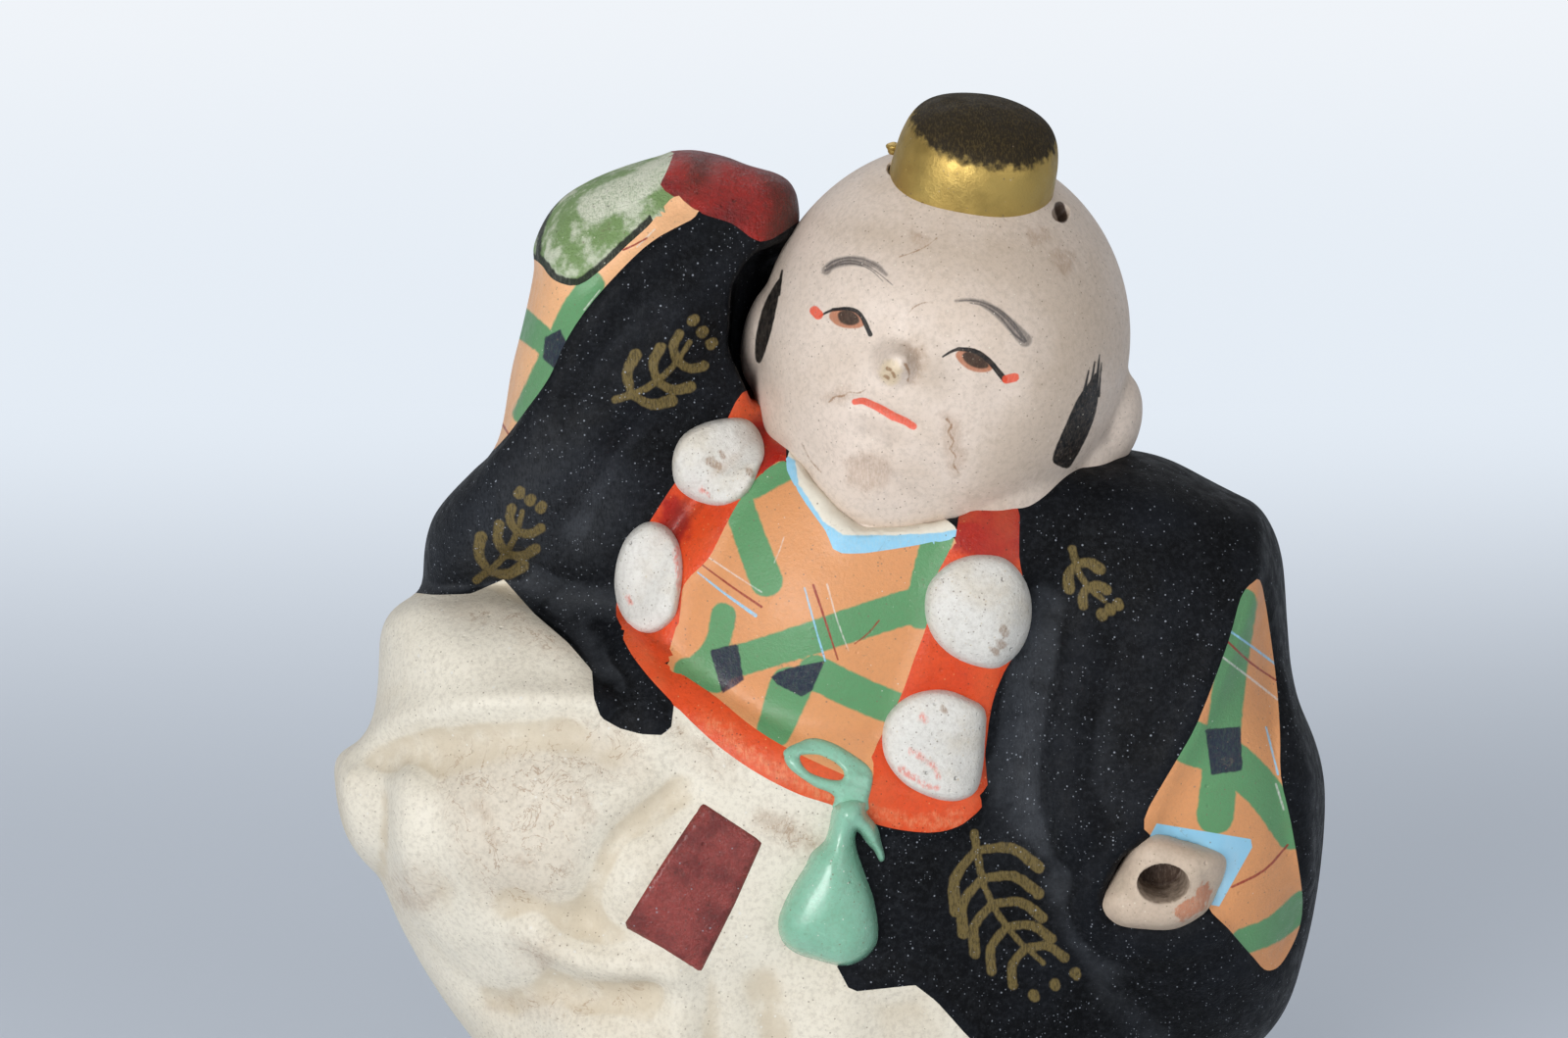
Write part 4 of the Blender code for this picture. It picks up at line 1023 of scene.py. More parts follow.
def keep_marks(item: bpy.types.Object, figures: Figures, spots: Array, front: Array) -> None:
    """Keep the fields of painted figures on an object's points.

    Args:
        item: the object.
        figures: names of the fields, and their marks.
        spots: pixels of the points.
        front: which points the brush reaches.
    """
    for name, marks in figures:
        keep_field(item, name, np.where(front, marks.field(spots), AWAY_PX))


def near_marks(spots: Array, marks: list[Marks], reach: float) -> Array:
    """Which spots lie near the edge of some marks.

    Args:
        spots: pixels, one row each.
        marks: the marks.
        reach: how near.

    Returns:
        Yes or no for each spot.
    """
    close = np.zeros(len(spots), dtype=bool)
    for mark in marks:
        close |= np.abs(mark.field(spots)) < reach
    return close


def close_to(spots: Array, curve: Array, reach: float) -> Array:
    """Which spots lie near a curve.

    Args:
        spots: pixels, one row each.
        curve: places on the curve.
        reach: how near, over the reach that every field has.

    Returns:
        Numbers of the near spots.
    """
    room = reach + FIELD_REACH_PX
    low, high = curve.min(axis=0) - room, curve.max(axis=0) + room
    return np.flatnonzero(np.all((spots > low) & (spots < high), axis=1))


def fused(name: str, skins: list[Skin], grain: float, rounds: int) -> Skin:
    """One skin round several overlapping shapes, its meeting lines softened.

    Args:
        name: of the form.
        skins: the shapes.
        grain: fineness of the new skin.
        rounds: how often it is smoothed.

    Returns:
        The new skin.
    """
    points, faces, count = [], [], 0
    for skin in skins:
        points.append(skin.points)
        faces.append(skin.faces + count)
        count += len(skin.points)
    item = Skin(np.vstack(points), np.vstack(faces)).item(name)
    remesh = item.modifiers.new("remesh", "REMESH")
    remesh.mode, remesh.voxel_size = "VOXEL", grain
    smooth = item.modifiers.new("smooth", "SMOOTH")
    smooth.factor, smooth.iterations = 0.5, rounds
    graph = bpy.context.evaluated_depsgraph_get()
    shaped = bpy.data.meshes.new_from_object(item.evaluated_get(graph))
    item.modifiers.clear()
    worn, item.data = item.data, shaped
    bpy.data.meshes.remove(worn)
    return Skin.of(item)


def work(skin: Skin, strokes: tuple[Stroke, ...], toward: Array) -> None:
    """Work strokes of the modelling tool into a skin, on the side that looks this way.

    Args:
        skin: the skin, changed.
        strokes: the strokes, one after another.
        toward: the way that the worked side looks.
    """
    for stroke in strokes:
        normals, spots = skin.normals(), VIEW.seen(skin.points)
        path = smooth_path(stroke.path_px, CURVE_STEPS)
        near = close_to(spots, path, 3 * stroke.width_px)
        away = path_distance(spots[near], path) / stroke.width_px
        square = np.clip(normals[near] @ toward * 2, 0, 1)
        lift = np.exp(-away * away) * square * stroke.rise_px * VIEW.pixel
        skin.points[near] += normals[near] * lift[:, None]


def raise_area(skin: Skin, outline: Array, rise_px: float, edge_px: float) -> None:
    """Lift an outlined area of a skin, or sink it where the rise is under zero.

    Args:
        skin: the skin, changed.
        outline: the area.
        rise_px: how far.
        edge_px: width of its slope.
    """
    normals = skin.normals()
    signed = outline_distance(VIEW.seen(skin.points), outline)
    tilted = normals @ VIEW.toward_eye + 0.3
    lift = ramp(signed, -edge_px, 0) * np.clip(tilted * 2, 0, 1) * rise_px * VIEW.pixel
    skin.points += normals * lift[:, None]


def relief_of(skin: Skin, rounds: int, scale: float = RELIEF_HEIGHT) -> Array:
    """How far each point stands over its surroundings, for dirt, wear, and painted shade and sheen.

    Args:
        skin: the skin.
        rounds: how wide the surroundings are.
        scale: height that counts as one.

    Returns:
        The relief, under zero in a hollow.
    """
    drawn = skin.smoothed(rounds)
    return np.sum((skin.points - drawn) * skin.normals(), axis=1) / scale


TROUSERS_PAD = Pad(
    (
        (440, 606), (416, 610), (396, 625), (387, 650), (386, 690), (379, 742), (362, 760),
        (341, 768), (343, 800), (354, 850), (390, 900), (404, 935), (430, 985), (462, 1034),
        (492, 1075), (508, 1130), (516, 1200), (524, 1300), (540, 1430), (1215, 1430), (1232, 1300),
        (1236, 1200), (1242, 1130), (1250, 1050), (1252, 980), (1235, 900), (1190, 820),
        (1110, 740), (1000, 690), (840, 650), (680, 620), (560, 598),
    ),
    0, 255, 230, 0.8,
)
TORSO_PAD = Pad(
    (
        (770, 440), (700, 500), (645, 580), (618, 680), (645, 770), (780, 860), (950, 900),
        (1090, 880), (1180, 760), (1215, 620), (1190, 520), (1130, 470), (1010, 440), (880, 425),
    ),
    -17, 204, 195, 0.8,
)
RAISED_SLEEVE_PAD = Pad(
    (
        (431, 585), (438, 534), (459, 504), (489, 474), (505, 452), (511, 420), (517, 378),
        (528, 335), (538, 290), (547, 245), (568, 208), (600, 186), (645, 168), (699, 155),
        (735, 160), (765, 174), (798, 180), (811, 196), (815, 240), (808, 320), (800, 420),
        (770, 520), (705, 620), (650, 690), (600, 668), (548, 625), (512, 598), (480, 605),
        (443, 606),
    ),
    0, 145, 119, 0.75,
)
HANGING_SLEEVE_PAD = Pad(
    (
        (1070, 470), (1112, 456), (1152, 458), (1191, 467), (1237, 491), (1276, 512), (1296, 532),
        (1309, 570), (1314, 640), (1321, 706), (1338, 745), (1351, 790), (1351, 850), (1341, 930),
        (1329, 980), (1316, 1022), (1290, 1060), (1240, 1095), (1160, 1112), (1080, 1102),
        (1010, 1075), (940, 1020), (905, 960), (925, 860), (975, 740), (1015, 610), (1035, 520),
    ),
    -8, 221, 195, 0.8,
)
HAND_PAD = Pad(
    (
        (1168, 843), (1205, 853), (1245, 866), (1254, 879), (1246, 905), (1231, 931), (1203, 949),
        (1168, 950), (1133, 944), (1118, 927), (1126, 906), (1145, 877),
    ),
    -178, 68, 94, 0.8,
)
TROUSERS_CUT_PX = (
    (250, 585), (443, 607), (480, 606), (514, 591), (545, 626), (580, 656), (604, 684), (606, 712),
    (613, 732), (632, 743), (654, 749), (675, 750), (685, 742), (688, 716), (750, 755), (800, 785),
    (850, 805), (880, 828), (868, 866), (874, 900), (884, 940), (874, 974), (853, 984), (868, 1012),
    (897, 1009), (934, 1005), (956, 1022), (988, 1058), (1040, 1092), (1120, 1100), (1316, 1085),
    (1500, 1080), (1500, 1400), (250, 1400),
)
BACK_CUT_PX = (
    (250, 580), (443, 607), (560, 640), (700, 720), (850, 850), (1000, 980), (1150, 1070),
    (1316, 1085), (1500, 1080), (1500, 1400), (250, 1400),
)
CHEST_PX = (
    (776, 484), (753, 513), (735, 547), (722, 571), (698, 596), (694, 625), (681, 678), (701, 691),
    (732, 712), (762, 737), (799, 761), (860, 790), (889, 800), (892, 767), (905, 740), (921, 706),
    (934, 669), (946, 636), (950, 600), (964, 571), (975, 548), (937, 556), (860, 565), (842, 541),
    (814, 501), (802, 470),
)
EAR_ROOM_PX = (
    (762, 300), (778, 272), (806, 262), (836, 300), (836, 396), (806, 410), (778, 396), (762, 360),
)
HAND_ROOM_PX = (
    (1150, 884), (1178, 864), (1222, 874), (1236, 892), (1224, 924), (1194, 938), (1150, 934),
    (1136, 914),
)
COLLAR_PX = (
    (802, 470), (814, 501), (842, 541), (860, 565), (937, 556), (975, 548), (967, 531), (925, 518),
    (890, 524), (868, 506), (840, 470), (822, 440),
)
NECK_ROOM_PX = (
    (812, 436), (832, 478), (860, 514), (880, 534), (925, 529), (975, 518), (1000, 490), (940, 450),
    (860, 430),
)
LEFT_STRAP_PX = (
    (758, 400), (735, 440), (700, 480), (687, 495), (663, 532), (640, 570), (630, 610), (634, 639),
    (681, 678), (694, 625), (698, 596), (722, 571), (735, 547), (753, 513), (776, 484), (802, 470),
    (795, 420), (785, 400),
)
RIGHT_STRAP_PX = (
    (1036, 510), (1040, 571), (1050, 620), (1040, 660), (1025, 685), (1012, 720), (1005, 770),
    (998, 813), (889, 800), (892, 767), (905, 740), (921, 706), (934, 669), (946, 636), (950, 600),
    (964, 571), (975, 548), (985, 515),
)
BAND_PX = (
    (634, 639), (640, 660), (655, 682), (676, 706), (722, 752), (768, 786), (814, 810), (848, 821),
    (894, 841), (937, 849), (967, 847), (990, 835), (998, 813), (889, 800), (860, 790), (799, 761),
    (762, 737), (732, 712), (701, 691), (681, 678),
)
SLEEVE_LINING_PX = (
    (470, 478), (507, 456), (540, 414), (561, 384), (579, 345), (606, 306), (648, 261), (675, 240),
    (714, 217), (690, 199), (663, 229), (640, 250), (618, 271), (590, 291), (564, 285), (549, 267),
    (515, 255), (490, 300), (480, 380), (470, 440),
)
LEAF_PATCH_PX = (
    (549, 267), (564, 285), (590, 291), (618, 271), (640, 250), (663, 229), (690, 199), (673, 192),
    (684, 166), (690, 130), (640, 130), (580, 155), (530, 195), (515, 255),
)
TOP_CUFF_PX = (
    (684, 166), (690, 130), (730, 125), (780, 140), (835, 150), (850, 200), (812, 228), (777, 247),
    (747, 228), (714, 217), (690, 199), (673, 192),
)
HANGING_LINING_PX = (
    (1279, 594), (1288, 598), (1301, 683), (1306, 745), (1307, 792), (1317, 838), (1327, 897),
    (1329, 928), (1323, 955), (1307, 984), (1292, 990), (1280, 978), (1253, 947), (1230, 918),
    (1256, 872), (1190, 858), (1166, 840), (1198, 780), (1222, 737), (1253, 656), (1266, 610),
)
HAND_CUFF_PX = (
    (1168, 838), (1282, 857), (1240, 932), (1210, 900), (1180, 880),
)
ROBE_STROKES = (
    Stroke(((507, 466), (540, 424), (570, 384), (588, 345), (655, 268), (714, 228)), 16, 9),
    Stroke(((525, 575), (560, 610), (600, 650), (622, 690)), 16, -14),
    Stroke(((514, 572), (540, 586), (564, 608)), 12, 10),
    Stroke(((700, 330), (660, 400), (600, 470), (540, 520)), 34, 8),
    Stroke(((770, 300), (720, 380), (640, 450), (590, 540)), 22, -8),
    Stroke(((1276, 516), (1270, 600), (1250, 656), (1219, 737), (1195, 780), (1165, 838)), 16, 12),
    Stroke(((1165, 838), (1141, 877), (1112, 915), (1130, 955), (1190, 968), (1240, 950)), 14, 8),
    Stroke(((1100, 500), (1180, 520), (1240, 530)), 30, 8),
    Stroke(((1060, 620), (1040, 720), (1050, 820), (1075, 900)), 22, -9),
    Stroke(((1100, 640), (1090, 740), (1100, 850)), 24, 6),
    Stroke(((1150, 600), (1140, 700), (1110, 800)), 26, -5),
    Stroke(((640, 672), (660, 700), (668, 738)), 16, 10),
    Stroke(((853, 984), (868, 1008), (897, 1005), (934, 1001), (956, 1018), (988, 1054)), 12, 7),
    Stroke(((1310, 700), (1330, 800), (1328, 900)), 14, 8),
)
TROUSERS_STROKES = (
    Stroke(((372, 752), (430, 728), (520, 716), (610, 716)), 20, 10),
    Stroke(((395, 790), (470, 768), (560, 762), (620, 770)), 30, -9),
    Stroke(((384, 790), (387, 840), (388, 885)), 14, -7),
    Stroke(((354, 772), (378, 776), (402, 782)), 11, -9),
    Stroke(((352, 800), (362, 850), (378, 880)), 20, 8),
    Stroke(((418, 795), (422, 850), (434, 920)), 22, 8),
    Stroke(((480, 852), (550, 846), (596, 872)), 66, 15),
    Stroke(((830, 640), (842, 752)), 78, 18),
    Stroke(((684, 812), (640, 848), (610, 895), (594, 940)), 27, -13),
    Stroke(((660, 905), (690, 960)), 50, 7),
    Stroke(((535, 948), (598, 975), (680, 992)), 17, 11),
    Stroke(((520, 925), (590, 945), (620, 950)), 20, -9),
    Stroke(((560, 1010), (610, 1028), (675, 1020)), 22, -13),
    Stroke(((693, 1000), (694, 1060), (705, 1130)), 20, 9),
    Stroke(((480, 990), (530, 1040), (560, 1110)), 26, -9),
    Stroke(((600, 1060), (620, 1120)), 30, 8),
    Stroke(((780, 1010), (790, 1080), (790, 1150)), 28, -10),
    Stroke(((860, 1050), (880, 1130)), 26, 8),
)
# Sharper lines of the tool along the folds
CREASES = (
    Stroke(((728, 156), (722, 176), (706, 202)), 10, -5),
    Stroke(((690, 166), (706, 172), (716, 190)), 12, 4),
    Stroke(((744, 168), (776, 178), (806, 196)), 13, 5),
    Stroke(((377, 752), (420, 733), (480, 719), (545, 713), (612, 718)), 9, 5),
    Stroke(((372, 778), (430, 766), (500, 752), (580, 748)), 22, -5),
    Stroke(((392, 810), (390, 845), (388, 872), (384, 896)), 8, -5),
    Stroke(((356, 776), (352, 810), (358, 850), (376, 890)), 8, 4),
    Stroke(((420, 796), (420, 850), (428, 905)), 14, 5),
    Stroke(((448, 800), (446, 860), (454, 930)), 18, -3),
    Stroke(((682, 816), (648, 842), (620, 872), (600, 932)), 15, -5),
    Stroke(((668, 796), (630, 822), (600, 846)), 16, 4),
    Stroke(((700, 838), (664, 866), (640, 900), (628, 940)), 18, 4),
    Stroke(((545, 944), (570, 968), (610, 984), (672, 992)), 13, 7),
    Stroke(((500, 1022), (560, 1014), (610, 1018), (668, 1008)), 16, -6),
    Stroke(((430, 960), (470, 1000), (520, 1030)), 12, -5),
    Stroke(((691, 992), (690, 1030), (692, 1070)), 10, 5),
    Stroke(((724, 1000), (728, 1040), (730, 1080)), 8, -4),
    Stroke(((396, 640), (430, 618), (500, 612)), 12, 5),
)
BACK_STROKES = (
    Stroke(((700, 560), (860, 640), (1010, 660)), 26, 7),
    Stroke(((690, 640), (850, 730), (1010, 760)), 24, -8),
    Stroke(((1180, 560), (1080, 680), (1040, 820), (1060, 960)), 26, 8),
    Stroke(((1250, 620), (1180, 740), (1160, 880), (1190, 1010)), 26, -9),
    Stroke(((560, 300), (600, 420), (640, 520)), 28, 7),
    Stroke(((640, 260), (690, 380), (710, 480)), 24, -7),
    Stroke(((470, 700), (480, 850), (520, 1010)), 30, -10),
    Stroke(((580, 730), (590, 880), (620, 1050)), 30, 9),
    Stroke(((690, 790), (700, 930), (720, 1080)), 28, -10),
    Stroke(((820, 900), (830, 1000), (840, 1120)), 26, 8),
)
FACE_STROKES = (
    Stroke(((850, 345), (885, 350)), 22, -5),
    Stroke(((975, 385), (1020, 400)), 22, -5),
    Stroke(((845, 440), (850, 460)), 40, 5),
    Stroke(((1020, 480), (1010, 500)), 46, 5),
    Stroke(((880, 440), (905, 450)), 14, -4),
    Stroke(((872, 480), (885, 495)), 26, 6),
    Stroke(((872, 411), (900, 420), (931, 435)), 6, -3),
    Stroke(((860, 290), (910, 300)), 26, 3),
    Stroke(((990, 322), (1040, 350)), 26, 3),
)
POMPOMS_PX = (
    ("pompom_left_upper", (
        (698, 443), (720, 431), (749, 426), (766, 430), (777, 445), (780, 463), (774, 480),
        (766, 498), (752, 511), (732, 516), (708, 510), (691, 497), (686, 479), (688, 460),
    )),
    ("pompom_left_lower", (
        (648, 539), (663, 532), (680, 537), (691, 551), (696, 570), (696, 590), (693, 611),
        (689, 628), (677, 641), (662, 646), (645, 640), (632, 622), (627, 598), (629, 575),
        (636, 554),
    )),
    ("pompom_right_upper", (
        (964, 578), (984, 568), (1004, 566), (1026, 570), (1043, 587), (1052, 611), (1051, 640),
        (1040, 665), (1020, 681), (998, 680), (973, 670), (953, 651), (944, 626), (947, 598),
    )),
    ("pompom_right_lower", (
        (908, 726), (924, 712), (943, 705), (965, 704), (985, 711), (1005, 724), (1005, 755),
        (1003, 782), (997, 806), (982, 816), (965, 817), (946, 812), (925, 801), (909, 784),
        (901, 765), (901, 743),
    )),
)
POMPOM_SMEARS = Marks(
    paths=(
        (((921, 786), (936, 797), (954, 804)), 8, 6),
        (((932, 766), (948, 778), (958, 792)), 6, 5),
        (((941, 733), (943, 735)), 9, 9),
        (((716, 500), (722, 504)), 5, 5),
        (((690, 560), (693, 600)), 4, 5),
        (((640, 610), (644, 616)), 5, 4),
    ),
)
POMPOM_SPOTS = Marks(
    paths=(
        (((1024, 642), (1026, 646)), 9, 9),
        (((1020, 656), (1023, 658)), 8, 8),
        (((1014, 663), (1016, 665)), 7, 7),
        (((724, 470), (734, 476)), 9, 7),
        (((736, 462), (738, 466)), 6, 5),
        (((962, 722), (966, 726)), 5, 5),
        (((764, 480), (768, 484)), 6, 5),
    ),
)
POMPOM_FIGURES = (("smear", POMPOM_SMEARS), ("spot", POMPOM_SPOTS))
TAB = Marks(
    patches=(
        ((717, 819), (778, 859), (750, 922), (715, 992), (676, 967), (636, 945), (675, 882)),
    ),
    crisp=True,
)
TASSEL = Marks(
    patches=(
        ((851, 822), (846, 844), (841, 858), (828, 870), (822, 883), (813, 897), (802, 917),
         (794, 940), (798, 960), (813, 973), (832, 979), (850, 984), (866, 985), (882, 978),
         (894, 964), (896, 945), (892, 919), (885, 898), (877, 876), (873, 860), (875, 848),
         (885, 861), (892, 868), (898, 879), (903, 875), (899, 858), (895, 843), (884, 829),
         (884, 818), (868, 814)),
    ),
)
TASSEL_LOOP = Marks(
    patches=(
        ((799, 771), (801, 764), (816, 756), (832, 753), (850, 758), (866, 767), (883, 779),
         (890, 788), (890, 800), (886, 816), (884, 828), (851, 826), (852, 814), (845, 808),
         (832, 803), (814, 791), (804, 782)),
    ),
    holes=(
        ((817, 771), (832, 770), (847, 775), (859, 784), (861, 791), (856, 796), (842, 794),
         (828, 789), (819, 781)),
    ),
)

# Painted figures, and the shade and sheen painted among them

PLAID_GREEN = Marks(
    paths=(
        (((806, 478), (790, 486), (770, 498)), 22, 22),
        (((752, 508), (764, 545), (782, 592)), 30, 34),
        (((958, 545), (946, 590), (940, 626)), 32, 32),
        (((744, 677), (800, 660), (880, 634), (950, 612)), 32, 36),
        (((738, 628), (730, 660), (700, 690)), 26, 22),
        (((700, 684), (730, 694)), 26, 26),
        (((806, 702), (790, 745)), 44, 36),
        (((832, 686), (870, 705), (916, 724)), 36, 34),
    ),
)
PLAID_NAVY = Marks(
    patches=(
        ((724, 663), (753, 657), (759, 694), (737, 708)),
        ((785, 690), (806, 681), (842, 674), (829, 704), (818, 711), (793, 698)),
    ),
    crisp=True,
)
PLAID_RUST = Marks(
    paths=(
        (((716, 576), (746, 598), (777, 619)), 1.6, 2.6),
        (((830, 597), (843, 636), (855, 673)), 2.8, 1.6),
        (((897, 633), (886, 646), (872, 657)), 1.6, 1.2),
    ),
)
PLAID_SKY = Marks(
    paths=(
        (((712, 584), (740, 606), (771, 628)), 1.4, 3.6),
        (((821, 600), (832, 640), (842, 674)), 1.6, 2.0),
    ),
)
PLAID_PALE = Marks(
    paths=(
        (((722, 568), (752, 588), (777, 604)), 1.6, 1.2),
        (((844, 596), (854, 632), (866, 664)), 1.8, 1.2),
        (((790, 574), (796, 560), (800, 548)), 1.2, 1.0),
    ),
)
COLLAR_SKY = Marks(
    patches=(
        ((794, 458), (800, 490), (806, 508), (838, 543), (855, 575), (916, 566), (958, 560),
         (990, 554), (990, 538), (956, 544), (912, 546), (860, 546), (840, 532), (815, 494),
         (811, 470)),
    ),
    crisp=True,
)
STRAP_WEAR = Marks(
    paths=(
        (((722, 734), (762, 766), (800, 790), (852, 812)), 9, 13),
        (((880, 826), (930, 838), (980, 836)), 5, 8),
    )
)
# Painted shade on the straps, under the head and beside the pompoms, in a deeper red
STRAP_SHADE = Marks(
    patches=(
        ((766, 424), (804, 424), (800, 476), (776, 488), (770, 460)),
        ((674, 506), (700, 516), (700, 552), (678, 556)),
        ((980, 505), (1045, 505), (1048, 566), (1012, 572), (970, 556)),
    ),
)
# Painted shade on the crimson cuff: its right side beside the head, and its creases
CUFF_SHADE = Marks(
    patches=(
        ((778, 176), (800, 176), (822, 196), (824, 250), (796, 262), (782, 236), (788, 206)),
        ((704, 158), (724, 156), (728, 170), (712, 196), (700, 200), (704, 180)),
        ((730, 150), (770, 156), (800, 168), (770, 166)),
    ),
)
# Black rim of the green patch: where it thins and ends, its widths, and its outer side
LEAF_RIM_THIN_ABOVE_PX = 215
LEAF_RIM_END_PX = 666
LEAF_RIM_WIDTHS_PX = (7.0, 3.0)
LEAF_SIDE = Marks(paths=((((549, 264), (551, 240), (560, 217), (574, 199), (592, 186)), 6, 4),))
LEAF_STREAK = Marks(paths=((((604, 212), (640, 196), (672, 176), (700, 160)), 30, 26),))
SLEEVE_GREEN = Marks(
    paths=(
        (((604, 290), (584, 318), (566, 356), (534, 422)), 26, 22),
        (((528, 326), (548, 342), (572, 362)), 30, 24),
    ),
)
SLEEVE_NAVY = Marks(
    patches=(
        ((556, 344), (572, 336), (580, 354), (566, 376), (554, 366)),
    ),
    crisp=True,
)
SLEEVE_RUST = Marks(
    paths=(
        (((511, 430), (519, 443)), 2.2, 2.0),
        (((636, 255), (647, 250), (660, 243)), 2.0, 1.6),
    ),
)
SLEEVE_PALE = Marks(
    paths=((((650, 252), (668, 234)), 1.6, 1.4), (((596, 316), (612, 296)), 1.4, 1.2)),
)
HANGING_GREEN = Marks(
    paths=(
        (((1268, 615), (1254, 700), (1240, 832)), 30, 38),
        (((1216, 758), (1250, 772), (1290, 808), (1318, 850)), 46, 34),
        (((1270, 960), (1300, 948), (1330, 922)), 27, 27),
    ),
)
HANGING_NAVY = Marks(patches=(((1230, 744), (1266, 741), (1268, 786), (1236, 791)),), crisp=True)
HANGING_RUST = Marks(
    paths=(
        (((1250, 652), (1276, 676), (1302, 694)), 2.2, 2.0),
        (((1257, 905), (1290, 888), (1314, 862)), 2.6, 2.0),
    ),
)
HANGING_SKY = Marks(
    paths=((((1254, 643), (1278, 660), (1302, 678)), 2.2, 2.4), (((1292, 742), (1304, 790)), 2, 2)),
)
HANGING_PALE = Marks(
    paths=((((1247, 670), (1276, 692), (1304, 714)), 2.0, 2.2), (((1302, 800), (1310, 826)), 2, 2)),
)
BROWS = Marks(
    paths=(
        (((843, 276), (850, 270), (866, 266), (880, 267)), 9, 10),
        (((880, 267), (894, 271), (904, 280)), 9, 3.5),
        (((975, 307), (990, 306), (1002, 309)), 2, 5),
        (((1002, 309), (1018, 319), (1034, 334), (1046, 347)), 7, 14),
    ),
)
BROW_HAIRS = Marks(
    paths=(
        (((843, 272), (852, 266), (866, 263), (882, 265), (896, 272)), 1.6, 0.9),
        (((842, 276), (856, 270), (872, 269), (888, 275), (901, 287)), 2.2, 0.8),
        (((846, 273), (862, 266), (878, 268), (894, 277), (911, 291)), 1.8, 0.8),
        (((979, 307), (996, 307), (1012, 313), (1028, 326), (1043, 344)), 1.0, 2.2),
        (((990, 309), (1006, 313), (1022, 325), (1034, 340), (1045, 349)), 1.0, 2.4),
        (((1000, 308), (1018, 315), (1034, 329), (1047, 348)), 1.2, 2.4),
    ),
)
LASHES = Marks(
    paths=(
        (((836, 323), (843, 319), (850, 316)), 1.6, 3.2),
        (((850, 316), (866, 315), (878, 321), (888, 341)), 3.4, 5.0),
        (((962, 364), (970, 359), (978, 356)), 1.8, 3.6),
        (((978, 356), (994, 358), (1008, 367), (1025, 387)), 4.0, 6.4),
    ),
)
IRISES = Marks(
    patches=(
        ((846, 324), (850, 316), (864, 314), (877, 320), (882, 331), (872, 335), (856, 333)),
        ((975, 364), (980, 357), (994, 356), (1008, 364), (1013, 376), (1003, 380), (988, 377)),
    ),
)
PUPILS = Marks(
    patches=(
        ((855, 320), (864, 316), (874, 321), (877, 328), (869, 332), (858, 329)),
        ((982, 362), (991, 358), (1003, 364), (1009, 374), (999, 376), (987, 371)),
    ),
)
LIPS = Marks(
    paths=(
        (((872, 410), (880, 409), (888, 412)), 6, 7.6),
        (((888, 412), (900, 418), (912, 425)), 7.4, 9),
        (((912, 425), (922, 429), (932, 435)), 8.6, 7),
    ),
)
CORNERS = Marks(paths=((((831, 317), (835, 321)), 10, 10), (((1027, 387), (1036, 385)), 9, 9)))
TEMPLES = Marks(
    patches=(
        ((797, 283), (795, 300), (790, 326), (783, 352), (776, 370), (771, 366), (771, 346),
         (777, 318), (787, 296)),
        ((1119, 380), (1110, 392), (1100, 406), (1087, 434), (1076, 460), (1075, 472), (1089, 478),
         (1096, 470), (1106, 452), (1116, 428), (1121, 402)),
    ),
    paths=(
        (((798, 276), (794, 300)), 2.0, 5.0),
        (((1122, 362), (1119, 392)), 1.4, 4.0),
        (((1117, 369), (1113, 396)), 1.2, 4.0),
        (((1111, 378), (1106, 402)), 1.2, 4.0),
        (((1124, 370), (1121, 404)), 1.2, 3.0),
    ),
)
CRACKS = Marks(
    paths=(
        (((966, 428), (971, 434), (968, 441), (973, 450), (970, 458), (975, 466), (973, 474),
          (978, 482)), 2.6, 1.0),
        (((918, 262), (930, 258), (944, 252), (956, 243)), 1.2, 0.9),
        (((926, 322), (932, 314), (942, 309), (952, 309)), 1.4, 1.0),
        (((818, 452), (826, 468), (838, 482)), 1.2, 0.9),
        (((846, 410), (852, 405), (860, 404), (867, 400), (876, 401), (884, 397)), 2.2, 1.2),
    ),
)
NOSE_WEAR = Marks(
    patches=(((898, 374), (906, 368), (917, 370), (920, 382), (912, 392), (900, 388)),),
)
NOSE_SPOTS = Marks(
    paths=(
        (((905, 376), (908, 377)), 4, 3),
        (((911, 381), (913, 384)), 3, 4),
        (((903, 384), (906, 386)), 3, 3),
        (((924, 372), (928, 380), (926, 388)), 3, 2),
    ),
)
# Painted shade on the face: darker along its top and right side, and beside the nose
FACE_SHADE = Marks(
    patches=(
        ((840, 232), (900, 224), (980, 236), (1060, 240), (1120, 290), (1140, 350), (1112, 400),
         (1080, 470), (1030, 510), (990, 520), (1000, 450), (1040, 410), (1070, 350), (1030, 300),
         (960, 280), (880, 250)),
        ((926, 350), (948, 352), (962, 380), (956, 400), (934, 396)),
    ),
)
# Dirt near the cap, and painted shade beside the nose, at the mouth and under it
FACE_GRIME_AND_SHADE = Marks(
    patches=(
        ((922, 352), (934, 350), (944, 362), (940, 384), (930, 392), (926, 376)),
        ((838, 404), (852, 398), (868, 396), (866, 408), (850, 412)),
        ((864, 470), (884, 462), (906, 470), (908, 492), (886, 502), (866, 490)),
        ((962, 424), (976, 426), (984, 452), (980, 484), (968, 476)),
        ((1078, 252), (1094, 262), (1092, 276), (1080, 278), (1074, 264)),
        ((1048, 236), (1066, 234), (1068, 246), (1054, 250)),
        ((930, 238), (948, 244), (940, 252)),
        ((1084, 258), (1090, 254), (1094, 262)),
    ),
)
# Half profile of the cap in shares of its radius and height, from below
CAP_PROFILE = (
    (0.0, -0.12), (0.9, -0.12), (0.985, -0.03), (1.0, 0.08), (0.99, 0.3), (0.965, 0.54),
    (0.9, 0.77), (0.78, 0.94), (0.57, 1.06), (0.3, 1.13), (0.0, 1.15),
)
# Painted shade in the tie holes beside the cap
TIE_HOLES = Marks(paths=((((911, 173), (913, 172)), 10, 10), (((1081, 211), (1084, 222)), 11, 11)))


